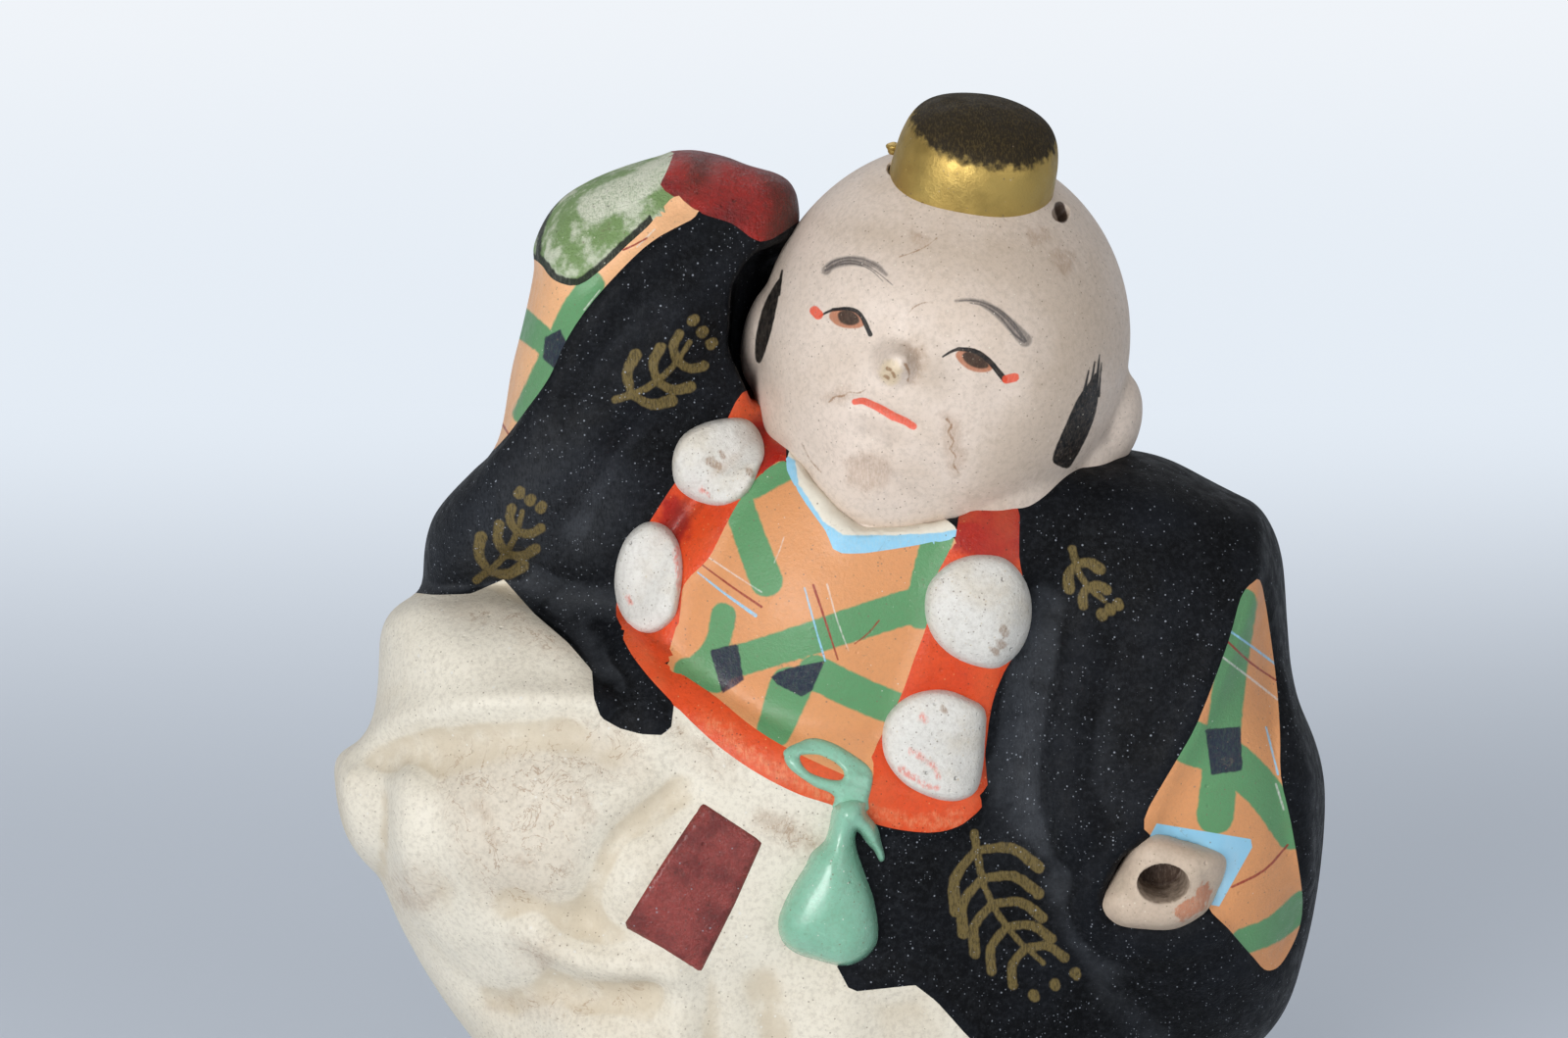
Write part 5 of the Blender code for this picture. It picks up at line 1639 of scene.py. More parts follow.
def sprig(foot: tuple[float, float], turn: float, size: float, leaves: int) -> tuple:
    """Brush marks of a plain sprig: a bent stem, paired leaves and three berries.

    Args:
        foot: pixel where the stem starts.
        turn: direction of the stem in degrees, 0 to the right and 90 downward.
        size: length of the stem in pixels.
        leaves: how many pairs.

    Returns:
        Marks, each a path with its widths.
    """
    angle = math.radians(turn)
    along = np.array((math.cos(angle), math.sin(angle)))
    side = np.array((-along[1], along[0]))
    base = np.array(foot, dtype=float)
    marks = []

    def on_stem(t: float) -> Array:
        """Place at this share of the bent stem."""
        return base + along * size * t + side * size * 0.12 * math.sin(math.pi * t)

    stem = [on_stem(t) for t in (0, 0.35, 0.7, 1)]
    marks.append((tuple(map(tuple, stem)), 8, 5))
    for pair in range(leaves):
        t = (pair + 0.6) / (leaves + 0.4)
        start = on_stem(t)
        reach = size * (0.42 - 0.2 * t)
        for hand in (-1, 1):
            tip = start + along * reach * 0.75 + side * reach * hand * 0.8
            bend = start + along * reach * 0.25 + side * reach * hand * 0.55
            marks.append(((tuple(start), tuple(bend), tuple(tip)), 8, 13 - 4 * t))
    for step in (-1, 0, 1):
        spot = base + along * size * 1.16 + side * size * 0.16 * step
        marks.append(((tuple(spot), tuple(spot + along * 3)), 11, 10))
    return tuple(marks)


# Painted shade under the trousers' ridge, under the robe's hem, under a fold and in the low valley,
# with a few brown dirt marks
STAINS_AND_SHADE = Marks(
    patches=(
        ((456, 768), (500, 752), (560, 764), (600, 800), (590, 880), (548, 930), (500, 920),
         (470, 880), (450, 820)),
        ((402, 890), (440, 884), (460, 908), (430, 930), (404, 918)),
        ((772, 832), (806, 836), (834, 856), (826, 870), (790, 858)),
        ((684, 736), (716, 752), (752, 784), (742, 798), (700, 772)),
        ((524, 956), (560, 960), (566, 980), (536, 984)),
        ((552, 746), (600, 738), (646, 752), (656, 786), (610, 796), (566, 780)),
        ((500, 1020), (600, 1010), (660, 1004), (640, 1026), (540, 1040)),
        ((440, 614), (500, 606), (545, 626), (582, 660), (562, 670), (520, 644), (470, 632)),
    ),
)
BLOTS = Marks(
    paths=(
        (((488, 822), (497, 832)), 12, 8),
        (((498, 852), (503, 860)), 8, 10),
        (((530, 878), (540, 884)), 8, 6),
        (((592, 806), (601, 830), (598, 838)), 5, 9),
        (((412, 918), (430, 922), (444, 914)), 8, 6),
        (((552, 978), (557, 985)), 9, 8),
        (((742, 774), (748, 780)), 9, 8),
        (((778, 836), (806, 848), (828, 862)), 18, 14),
        (((712, 758), (728, 764)), 7, 5),
        (((500, 1026), (540, 1022), (570, 1012)), 7, 4),
    ),
)
# Dust with painted sheen on the robe: its left side where the light catches it, and a painted
# highlight along a fold on the right
ROBE_DUST_AND_SHEEN = Marks(
    patches=(
        ((436, 560), (450, 520), (500, 462), (556, 440), (610, 460), (640, 520), (600, 570),
         (540, 590), (470, 600)),
        ((1030, 640), (1052, 640), (1066, 740), (1068, 860), (1040, 860), (1026, 740)),
    ),
)
GOLD_SPRIGS = Marks(
    paths=sprig((628, 408), -38, 96, 3)
    + sprig((486, 592), -56, 84, 3)
    + sprig((1094, 560), 58, 62, 2)
    + sprig((994, 850), 62, 150, 5),
)


# Finishes

CREAM_CLAY = Figured(
    "cream clay", "cream_clay", Paint.CREAM, Paint.CREAM_SHADE, gloss=(0.45, 0.7), lumps=0.8,
    grain=0.35, pits=0.5, bump=0.2, cloud=(0.05, 0.42, 0.8), cloud_share=0.55,
    dust=(1.2, 0.3, 0.12), dust_paint=Paint.WHITE, dirt=0.7, mottle=0.24, crazing=0.25,
    # Painted shade in the creases of the trousers
    scribble=0.5, hollow_paint=Paint.CREAM_SHADE, hollow=0.75,
    layers=(
        # Soft painted shade, with a few dirt marks
        Layer("stain_and_shade", Paint.BROWN_STAIN_AND_SHADE, waver=30.0, soft=18.0, cover=0.17),
        Layer("blot", Paint.BROWN_STAIN_AND_SHADE, waver=16.0, soft=8.0, dry=0.6, cover=0.36),
    ),
)
BLACK_ROBE = Figured(
    "black robe", "black_paint", Paint.BLACK, Paint.BLACK_SHEEN, gloss=(0.42, 0.62), lumps=0.6,
    grain=0.6, pits=0.5, bump=0.18, cloud=(0.12, 0.35, 0.8), cloud_share=0.6,
    dust=(3.2, 0.3, 0.26), dirt=0.36, dirt_paint=Paint.DUST, mottle=0.022,
    # Dust in the robe's hollows, and painted sheen on its heights in the sheen black
    hollow_paint=Paint.DUST, hollow=0.05, crazing=0.0, specular=0.1, rubbed_and_sheen=0.3,
    rubbed_and_sheen_paint=Paint.BLACK_SHEEN,
    layers=(
        # Painted sheen with dust over the robe
        Layer("dust_and_sheen", Paint.DUST, waver=50.0, soft=40.0, dry=0.6, cover=0.05),
        Layer("gold", Paint.OLIVE_GOLD, waver=3.0, soft=1.2, dry=0.5, cover=0.85),
    ),
)
PLAID_LAYERS = (
    Layer("green", Paint.GREEN, waver=3.0, soft=1.4, cover=0.93),
    Layer("navy", Paint.NAVY, waver=2.5, soft=1.0, dry=0.1, cover=0.96),
    Layer("sky", Paint.SKY, waver=1.0, soft=0.6, dry=0.4),
    Layer("pale", Paint.WHITE, waver=1.0, soft=0.6, dry=0.5, cover=0.7),
    Layer("rust", Paint.RUST, waver=1.0, soft=0.6, dry=0.2),
)
PLAID = Figured(
    "plaid cloth paint", "plaid_paint", Paint.PEACH, Paint.PEACH_DEEP, gloss=(0.3, 0.48),
    lumps=0.6, grain=0.45, pits=0.4, bump=0.2, cloud=(0.12, 0.4, 0.8), cloud_share=0.45,
    dust=(1.6, 0.2, 0.14), dust_paint=Paint.WHITE, dirt=0.6, mottle=0.1,
    hollow_paint=Paint.RUST, hollow=0.07, coat=0.04, layers=PLAID_LAYERS,
)
PALE_PLAID = replace(
    PLAID, name="pale plaid cloth paint", ground=Paint.PEACH_PALE, second=Paint.PEACH
)
ORANGE = Figured(
    "orange strap paint", "orange_paint", Paint.ORANGE, Paint.ORANGE_DEEP, gloss=(0.25, 0.45),
    lumps=0.8, grain=0.4, pits=0.5, bump=0.22, dust=(1.8, 0.26, 0.3), dust_paint=Paint.PEACH,
    dirt=0.9, dirt_paint=Paint.PIT, mottle=0.16, hollow=0.35, crazing=0.1, rubbed_and_sheen=0.12,
    rubbed_and_sheen_paint=Paint.PEACH, specular=0.3,
    layers=(
        # Painted shade of the straps
        Layer("deep", Paint.CRIMSON, waver=16.0, soft=6.0, dry=0.1, cover=0.95),
        Layer("worn", Paint.PEACH_PALE, waver=40.0, soft=8.0, dry=0.9, cover=0.32),
    ),
)
SKY_EDGE = Finish(
    "blue edge paint", "blue_paint", Paint.SKY, Paint.WHITE, gloss=(0.4, 0.6), cloud_share=0.25,
    dust=(1.3, 0.2, 0.12), dust_paint=Paint.WHITE, dirt=0.3, hollow=0.3,
)
COLLAR = Figured(
    "collar paint", "blue_paint", Paint.CREAM, Paint.FLESH, gloss=(0.4, 0.6),
    cloud_share=0.3, dust=(1.4, 0.2, 0.12), dust_paint=Paint.CREAM_SHADE, dirt=0.4, mottle=0.08,
    hollow=0.2, layers=(Layer("sky", Paint.SKY, waver=3.0, soft=0.8, dry=0.1),),
)
WHITE_POMPOM = Figured(
    "white pompom paint", "white_paint", Paint.WHITE, Paint.CREAM_SHADE, gloss=(0.4, 0.6),
    lumps=0.9, grain=0.6, pits=1.1, bump=0.24, cloud=(0.14, 0.45, 0.7), cloud_share=0.45,
    dust=(1.8, 0.34, 0.36), dust_paint=Paint.CREAM_SHADE, dirt=1.7, mottle=0.2, crazing=0.15,
    hollow_paint=Paint.BROWN_STAIN_AND_SHADE, hollow=0.35,
    layers=(
        Layer("smear", Paint.RED, waver=12.0, soft=2.5, dry=0.9, cover=0.6),
        Layer("spot", Paint.BROWN_STAIN_AND_SHADE, waver=8.0, soft=1.5, dry=0.5, cover=0.6),
    ),
)
JADE_TASSEL = Finish(
    "pale green tassel paint", "pale_green_paint", Paint.JADE, Paint.JADE_DEEP,
    gloss=(0.12, 0.3), lumps=1.1, grain=0.3, pits=0.35, bump=0.24, cloud_share=0.5,
    dust=(1.5, 0.22, 0.2), dust_paint=Paint.WHITE, dirt=0.7, mottle=0.18, crazing=0.15, hollow=0.3,
    coat=0.5,
)
WINE_TAB = Finish(
    "dark red tab paint", "dark_red_paint", Paint.WINE, Paint.WINE_DEEP, gloss=(0.16, 0.45),
    lumps=1.5, grain=0.7, pits=0.5, bump=0.42, cloud=(0.3, 0.35, 0.7), cloud_share=0.9,
    dust=(1.5, 0.26, 0.3), dirt=0.5, dirt_paint=Paint.PIT, mottle=0.3, hollow=0.3, coat=0.25,
)
CRIMSON_CUFF = Figured(
    "crimson cuff paint", "crimson_paint", Paint.CRIMSON, Paint.CRIMSON_DEEP, gloss=(0.22, 0.5),
    lumps=1.7, grain=0.5, pits=0.5, bump=0.65, cloud=(0.16, 0.4, 0.7), cloud_share=0.7,
    dust=(1.8, 0.24, 0.3), dust_paint=Paint.ORANGE, dirt=0.4, dirt_paint=Paint.PIT,
    mottle=0.35, hollow=0.5,
    # Painted shade of the cuff
    layers=(Layer("dark", Paint.PIT, waver=16.0, soft=14.0, dry=0.3, cover=0.72),),
)
LEAF_PATCH = Figured(
    "leaf green patch paint", "leaf_green_paint", Paint.LEAF, Paint.LEAF_CREAM, gloss=(0.45, 0.7),
    lumps=1.6, grain=1.0, pits=0.8, bump=0.4, cloud=(0.35, 0.45, 0.65), cloud_share=0.75,
    dust=(1.6, 0.3, 0.3), dust_paint=Paint.LEAF_CREAM, dirt=0.35, hollow=0.4,
    layers=(
        Layer("cream", Paint.LEAF_CREAM, waver=9.0, soft=3.0, dry=0.5, cover=0.9),
        Layer("rim", Paint.BLACK, waver=4.0, soft=1.2, dry=0.1, cover=0.95),
    ),
)
FACE = Figured(
    "face paint", "flesh_paint", Paint.FLESH, Paint.FLESH_WARM, gloss=(0.4, 0.6), lumps=0.45,
    grain=0.3, pits=0.4, bump=0.11, cloud=(0.1, 0.42, 0.78), cloud_share=0.55,
    dust=(1.7, 0.24, 0.2), dust_paint=Paint.CREAM, dirt=0.8, mottle=0.2, crazing=0.1, hollow=0.25,
    layers=(
        # Painted shade of the face
        Layer("face_shade", Paint.FLESH_SHADE, waver=40.0, soft=26.0, cover=0.44),
        # Dirt with painted shade on the face
        Layer("grime_and_shade", Paint.BROWN_STAIN_AND_SHADE, waver=18.0, soft=7.0, dry=0.5, cover=0.36),
        Layer("brow", Paint.BROW, waver=1.0, soft=1.6, dry=0.2, cover=0.72),
        Layer("brow_hair", Paint.BROW, waver=0.6, soft=0.7, dry=0.2, cover=0.9),
        Layer("iris", Paint.IRIS, waver=1.0, soft=1.0, dry=0.1, cover=0.85),
        Layer("pupil", Paint.UMBER, waver=1.0, soft=1.2, dry=0.05, cover=0.93),
        Layer("lash", Paint.BLACK, waver=0.8, soft=0.6, dry=0.05),
        Layer("lips", Paint.RED, waver=1.2, soft=0.7, dry=0.12, cover=0.92),
        Layer("hair", Paint.BLACK, waver=1.2, soft=0.7, dry=0.06),
        Layer("crack", Paint.BROWN_STAIN_AND_SHADE, waver=3.0, soft=0.7, dry=0.5, cover=0.75),
        Layer("nose", Paint.CLAY_YELLOW, waver=8.0, soft=3.5, cover=0.7),
        Layer("nose_spot", Paint.BROWN_STAIN_AND_SHADE, waver=4.0, soft=0.9, dry=0.2, cover=0.8),
        # Painted shade in the tie holes
        Layer("hole", Paint.PIT, waver=2.0, soft=1.0, cover=0.95),
    ),
)
FACE_FIGURES = {
    "face_shade": FACE_SHADE, "grime_and_shade": FACE_GRIME_AND_SHADE, "brow": BROWS, "brow_hair": BROW_HAIRS, "iris": IRISES,
    "pupil": PUPILS, "lash": LASHES, "lips": LIPS, "hair": TEMPLES, "crack": CRACKS,
    "nose": NOSE_WEAR, "nose_spot": NOSE_SPOTS, "hole": TIE_HOLES,
}
HAND = Figured(
    "hand paint", "flesh_paint", Paint.FLESH_WARM, Paint.CREAM_SHADE, gloss=(0.45, 0.65),
    lumps=0.8, grain=0.4, pits=0.6, bump=0.18, cloud_share=0.5, dust=(1.6, 0.26, 0.3),
    dust_paint=Paint.CREAM, dirt=0.8, mottle=0.2, crazing=0.1, hollow=0.5,
    layers=(
        Layer("chip", Paint.TERRACOTTA, waver=18.0, soft=1.6, dry=0.35, cover=0.95),
        # Painted shade in the bore of the fist
        Layer("bore", Paint.PIT, waver=8.0, soft=4.0, dry=0.15, cover=0.95),
    ),
)
GILT = Figured(
    "gilt cap", "gold_paint", Paint.GOLD, Paint.GOLD_DULL, gloss=(0.34, 0.5), lumps=0.6,
    grain=0.35, pits=0.6, bump=0.16, cloud=(0.2, 0.36, 0.75), cloud_share=0.6, specular=0.25,
    dust=(1.6, 0.22, 0.14), dust_paint=Paint.CREAM_SHADE, dirt=0.3, hollow_paint=Paint.UMBER,
    hollow=0.4, crazing=0.15, metallic=0.7,
    layers=(Layer("top", Paint.UMBER, waver=22.0, soft=5.0, dry=0.08, cover=0.98),),
)
BARE_CLAY = Finish(
    "bare clay", "bare_clay", Paint.TERRACOTTA, Paint.BROWN_STAIN_AND_SHADE, gloss=(0.7, 0.9), lumps=0.8,
    grain=0.6, pits=0.6, bump=0.2, dust=(1.4, 0.24, 0.2), dust_paint=Paint.CREAM_SHADE, dirt=0.3,
)


@dataclass(frozen=True)
class Zone:
    """An area of the clothes with its own clay and paint, for the CAD node of its name."""

    name: str
    finish: Finish
    outline_px: Path
    far_px: float = 0.0
    rise_px: float = 0.0
    edge_px: float = 8.0
    figures: Figures = ()
    smooth: bool = True

    def outline(self) -> Array:
        """Outline as it is painted.

        Returns:
            Its places, one row each.
        """
        if self.smooth:
            return smooth_path(self.outline_px, CURVE_STEPS, True)
        return np.array(self.outline_px)

    def limit(self, spots: Array) -> Array:
        """How far back the painting reaches, by a brush that isn't quite steady.

        Args:
            spots: places in the picture.

        Returns:
            Depth at each of them, in pixels.
        """
        sway = 7 * np.sin(spots[:, 1] / 21) + 3 * np.sin(spots[:, 1] / 8)
        return self.far_px + sway * (self.far_px > 0)


STRAP_FIGURES = (("deep", STRAP_SHADE), ("worn", STRAP_WEAR))
CHEST_FIGURES = (
    ("green", PLAID_GREEN), ("navy", PLAID_NAVY), ("rust", PLAID_RUST), ("sky", PLAID_SKY),
    ("pale", PLAID_PALE),
)
SLEEVE_FIGURES = (
    ("green", SLEEVE_GREEN), ("navy", SLEEVE_NAVY), ("rust", SLEEVE_RUST), ("sky", Marks()),
    ("pale", SLEEVE_PALE),
)
HANGING_FIGURES = (
    ("green", HANGING_GREEN), ("navy", HANGING_NAVY), ("rust", HANGING_RUST),
    ("sky", HANGING_SKY), ("pale", HANGING_PALE),
)
RAISED = {"far_px": PLAIN_DEPTH_PX}
ZONES = (
    Zone("strap_left", ORANGE, LEFT_STRAP_PX, rise_px=4, figures=STRAP_FIGURES),
    Zone("strap_right", ORANGE, RIGHT_STRAP_PX, rise_px=4, figures=STRAP_FIGURES),
    Zone("belt_band", ORANGE, BAND_PX, rise_px=6, figures=STRAP_FIGURES),
    Zone("chest_panel", PLAID, CHEST_PX, rise_px=-2, figures=CHEST_FIGURES),
    Zone("collar_edge", COLLAR, COLLAR_PX, rise_px=2, figures=(("sky", COLLAR_SKY),)),
    Zone(
        "raised_sleeve_lining", PALE_PLAID, SLEEVE_LINING_PX, rise_px=-6, figures=SLEEVE_FIGURES,
        **RAISED,
    ),
    Zone("sleeve_leaf_patch", LEAF_PATCH, LEAF_PATCH_PX, rise_px=2, **RAISED),
    Zone(
        "sleeve_top_cuff", CRIMSON_CUFF, TOP_CUFF_PX, rise_px=4, figures=(("dark", CUFF_SHADE),),
        **RAISED,
    ),
    Zone("hanging_sleeve_lining", PLAID, HANGING_LINING_PX, rise_px=-7, figures=HANGING_FIGURES),
    Zone("hand_cuff", SKY_EDGE, HAND_CUFF_PX, rise_px=-2, smooth=False),
)


@dataclass
class Clothes:
    """The clothed body: robe and trousers, and what is painted and laid on them."""

    grain: float = 0.85 * MM
    smoothing: int = 26
    slab: float = 1.3 * MM
    rooms_px: tuple = ((NECK_ROOM_PX, -34, 6), (EAR_ROOM_PX, -50, 13), (HAND_ROOM_PX, -60, 6))
    foot_px: tuple[float, float] = (-12, 10)
    foot_half_px: tuple[float, float] = (315, 172)
    seam_width: float = 4 * MM
    fine_depth: float = 10 * MM
    skin: Skin = field(init=False)

    def sculpt(self) -> Skin:
        """Model the whole clothed body.

        Returns:
            Its skin, before it is parted.
        """
        pads = (TROUSERS_PAD, TORSO_PAD, RAISED_SLEEVE_PAD, HANGING_SLEEVE_PAD)
        skin = fused("body", [pad.skin() for pad in pads], self.grain, self.smoothing)
        for zone in ZONES:
            raise_area(skin, np.array(zone.outline_px, dtype=float), zone.rise_px, zone.edge_px)
        for room, drop_px, edge_px in self.rooms_px:
            raise_area(skin, np.array(room, dtype=float), drop_px, edge_px)
        work(skin, ROBE_STROKES + TROUSERS_STROKES + CREASES, VIEW.toward_eye)
        work(skin, BACK_STROKES, -VIEW.toward_eye)
        skin.points = skin.smoothed(3)
        self.skin = skin
        return skin

    def fine_detail(self) -> None:
        """Make the mesh finer where thin marks are painted."""
        figures = [figure for zone in ZONES for figure in zone.figures]
        thin = [marks for name, marks in figures if name in ("rust", "sky", "pale")]
        broad = [marks for name, marks in figures if name in ("green", "navy")]
        gold = [GOLD_SPRIGS]
        for marks, reach in ((thin + broad + gold, 8), (thin + gold, 5), (thin, 3)):
            self.skin.refine(partial(self.painted_near, marks, reach), 1)

    def painted_near(self, marks: list[Marks], reach: float, points: Array) -> Array:
        """Which points of the front lie near the edge of some marks.

        Args:
            marks: the marks.
            reach: how near, in pixels.
            points: the points.

        Returns:
            Yes or no for each point.
        """
        return near_marks(VIEW.seen(points), marks, reach) & (points[:, 1] < self.fine_depth)

    def cut_field(self) -> Array:
        """Distance into the trousers, over zero there.

        Returns:
            Pixels at each point of the skin.
        """
        spots = VIEW.seen(self.skin.points)
        front = outline_distance(spots, np.array(TROUSERS_CUT_PX, dtype=float))
        back = outline_distance(spots, np.array(BACK_CUT_PX, dtype=float))
        share = ramp(self.skin.points[:, 1], -self.seam_width / 2, self.seam_width / 2)
        return front * (1 - share) + back * share

    def build(self) -> None:
        """Part the skin into its pieces, dress them, and put them in the frame."""
        skin = self.sculpt()
        self.fine_detail()
        held = np.zeros(len(skin.points), dtype=bool)
        floor = skin.points[:, 2] / VIEW.pixel
        skin.snap(floor, held)
        skin.points[held, 2] = 0.0
        skin.faces = skin.faces[floor[skin.faces].mean(axis=1) > 0]
        labels = np.zeros(len(skin.faces), dtype=int)
        for label, zone in enumerate((None, *ZONES), start=1):
            if zone is None:
                values = self.cut_field()
            else:
                spots = VIEW.seen(skin.points)
                reach = zone.limit(spots) - skin.points[:, 1] / VIEW.pixel
                values = np.minimum(outline_distance(spots, zone.outline()), reach)
            skin.snap(values, held)
            labels[values[skin.faces].sum(axis=1) > 0] = label
        normals = skin.normals()
        relief = relief_of(skin, 30)
        self.piece("robe", labels == 0, normals, relief, ("robe_front", "robe_back"), BLACK_ROBE,
                   (("dust_and_sheen", ROBE_DUST_AND_SHEEN), ("gold", GOLD_SPRIGS)))
        self.piece("trousers", labels == 1, normals, relief, ("trousers_front", "trousers_back"),
                   CREAM_CLAY, (("stain_and_shade", STAINS_AND_SHADE), ("blot", BLOTS)))
        for label, zone in enumerate(ZONES, start=2):
            self.piece(zone.name, labels == label, normals, relief, (zone.name,), zone.finish,
                       zone.figures, zone)

    def piece(
        self, name: str, keep: Array, normals: Array, relief: Array, nodes: tuple[str, ...],
        finish: Finish, figures: Figures, zone: Zone | None = None,
    ) -> None:
        """Make one piece of the clothes.

        Args:
            name: of the piece.
            keep: its faces of the skin.
            normals: of the whole skin's points.
            relief: of the whole skin's points.
            nodes: CAD nodes that it stands for.
            finish: its paint.
            figures: what is painted on it, by field.
            zone: its zone, for the paint that follows its rim.
        """
        slab, corners, used = self.skin.shell(keep, normals, self.slab)
        count = len(used)
        if name == "trousers":
            self.close_foot(slab, count)
        item = slab.item(name, corners)
        spots = VIEW.seen(slab.points)
        front = slab.points[:, 1] / VIEW.pixel < (zone.limit(spots) if zone else PLAIN_DEPTH_PX)
        keep_field(item, "relief", np.tile(relief[used], 2))
        keep_marks(item, figures, spots, front)
        if finish is LEAF_PATCH:
            within = outline_distance(spots, zone.outline())
            width = np.where(spots[:, 1] > LEAF_RIM_THIN_ABOVE_PX, *LEAF_RIM_WIDTHS_PX)
            rim = np.maximum(width - within, LEAF_SIDE.field(spots))
            keep_field(item, "rim", np.where(spots[:, 0] > LEAF_RIM_END_PX, -20.0, rim))
            keep_field(item, "cream", LEAF_STREAK.field(spots))
        finish.dress(item, *nodes)

    def close_foot(self, slab: Skin, count: int) -> None:
        """Carry the trousers' lower rim in to the opening that the base plate fills.

        Args:
            slab: the trousers, changed.
            count: how many of its points lie on the outside.
        """
        rim = np.flatnonzero(slab.points[:count, 2] < 0.01 * MM)
        middle = np.array(self.foot_px) * VIEW.pixel
        half = np.array(self.foot_half_px) * VIEW.pixel
        run = (slab.points[rim, :2] - middle) / half
        run /= np.linalg.norm(run, axis=1, keepdims=True)
        slab.points[rim + count, :2] = middle + run * half
        slab.points[rim + count, 2] = 0.0


@dataclass(frozen=True)
class Luted:
    """A piece that is pressed flat and luted on the clothes, with its heights over them."""

    name: str
    shape: Marks
    finish: Finish
    rim: float
    bulge: float
    step_px: float
    figures: Figures = ()

    @classmethod
    def pompom(cls, name: str, outline: Path) -> "Luted":
        """A domed pompom inside this outline."""
        shape = Marks(patches=(outline,))
        return cls(name, shape, WHITE_POMPOM, 0.5 * MM, 2.7 * MM, 2.4, POMPOM_FIGURES)


LUTED_PIECES = (
    *(Luted.pompom(name, outline) for name, outline in POMPOMS_PX),
    Luted("sash_tab", TAB, WINE_TAB, rim=0.25 * MM, bulge=0.2 * MM, step_px=4.0),
    Luted("tassel", TASSEL, JADE_TASSEL, rim=0.4 * MM, bulge=4.0 * MM, step_px=2.6),
    Luted("tassel_loop", TASSEL_LOOP, JADE_TASSEL, rim=0.25 * MM, bulge=0.5 * MM, step_px=2.0),
)


@dataclass
class Trim:
    """What is luted on the clothes: pompoms, the tab, the tassel and its loop."""

    skin: Skin
    sink: float = 0.8 * MM

    def build(self) -> None:
        """Make the pieces and put them in the frame."""
        for piece in LUTED_PIECES:
            slab = self.drape(piece)
            item = slab.item(piece.name)
            keep_field(item, "relief", relief_of(slab, 20))
            keep_marks(item, piece.figures, VIEW.seen(slab.points), np.array(True))
            piece.finish.dress(item, piece.name)

    def drape(self, piece: Luted) -> Skin:
        """Slab that lies on the clothes inside an outline.

        Args:
            piece: the piece to press.

        Returns:
            The closed slab.
        """
        shape, step_px = piece.shape, piece.step_px
        knots = np.vstack([np.array(patch, dtype=float) for patch in shape.patches])
        low, high = knots.min(axis=0) - 3 * step_px, knots.max(axis=0) + 3 * step_px
        across = np.arange(low[0], high[0] + step_px, step_px)
        down = np.arange(low[1], high[1] + step_px, step_px)
        grid = np.stack(np.meshgrid(across, down), axis=-1).reshape(-1, 2)
        wide = len(across)
        cell = (np.arange(len(down) - 1)[:, None] * wide + np.arange(wide - 1)).ravel()
        faces = np.vstack((np.stack((cell, cell + 1, cell + wide + 1), axis=1),
                           np.stack((cell, cell + wide + 1, cell + wide), axis=1)))
        flat = Skin(np.column_stack((grid, np.zeros(len(grid)))), faces)
        signed = shape.field(grid)
        flat.snap(signed, np.zeros(len(grid), dtype=bool))
        signed[np.abs(signed) < 1e-9] = 0.0
        flat.faces = flat.faces[signed[flat.faces].sum(axis=1) > 0]
        spots = flat.points[:, :2]
        body = VIEW.seen(self.skin.points)
        front = self.skin.normals() @ VIEW.toward_eye > 0.1
        ground = VIEW.place(spots, blend_depth(body[front], self.skin.points[front, 1], spots))
        inner = np.clip(shape.field(spots), 0, None)
        dome = np.sqrt(1 - (1 - inner / inner.max()) ** 2)
        drawn = Skin(np.column_stack((spots, dome)), flat.faces).smoothed(10)[:, 2]
        height = piece.rim * ramp(inner, -0.5, 2.5) + piece.bulge * drawn * ramp(inner, -0.5, 5)
        top = Skin(ground + VIEW.toward_eye * height[:, None], flat.faces)
        if np.mean(top.face_normals() @ VIEW.toward_eye) < 0:
            top.faces = top.faces[:, ::-1].copy()
        facing = np.tile(VIEW.toward_eye, (len(top.points), 1))
        slab, _, used = top.shell(np.ones(len(top.faces), dtype=bool), facing, 0.0)
        slab.points[len(used):] = ground[used] - VIEW.toward_eye * self.sink
        return slab


def blend_depth(known: Array, depths: Array, spots: Array) -> Array:
    """Depth at each spot, from the nearest known places.

    Args:
        known: pixels of the known places.
        depths: their depths.
        spots: where the depth is wanted.

    Returns:
        The depths.
    """
    low, high = spots.min(axis=0) - 12, spots.max(axis=0) + 12
    near = np.all((known > low) & (known < high), axis=1)
    known, depths = known[near], depths[near]
    result = np.empty(len(spots))
    for start in range(0, len(spots), 500):
        part = spots[start : start + 500]
        away = np.sum((part[:, None] - known[None]) ** 2, axis=2)
        weight = np.exp(-away / 30.0) + 1e-12
        result[start : start + 500] = (weight @ depths) / weight.sum(axis=1)
    return result


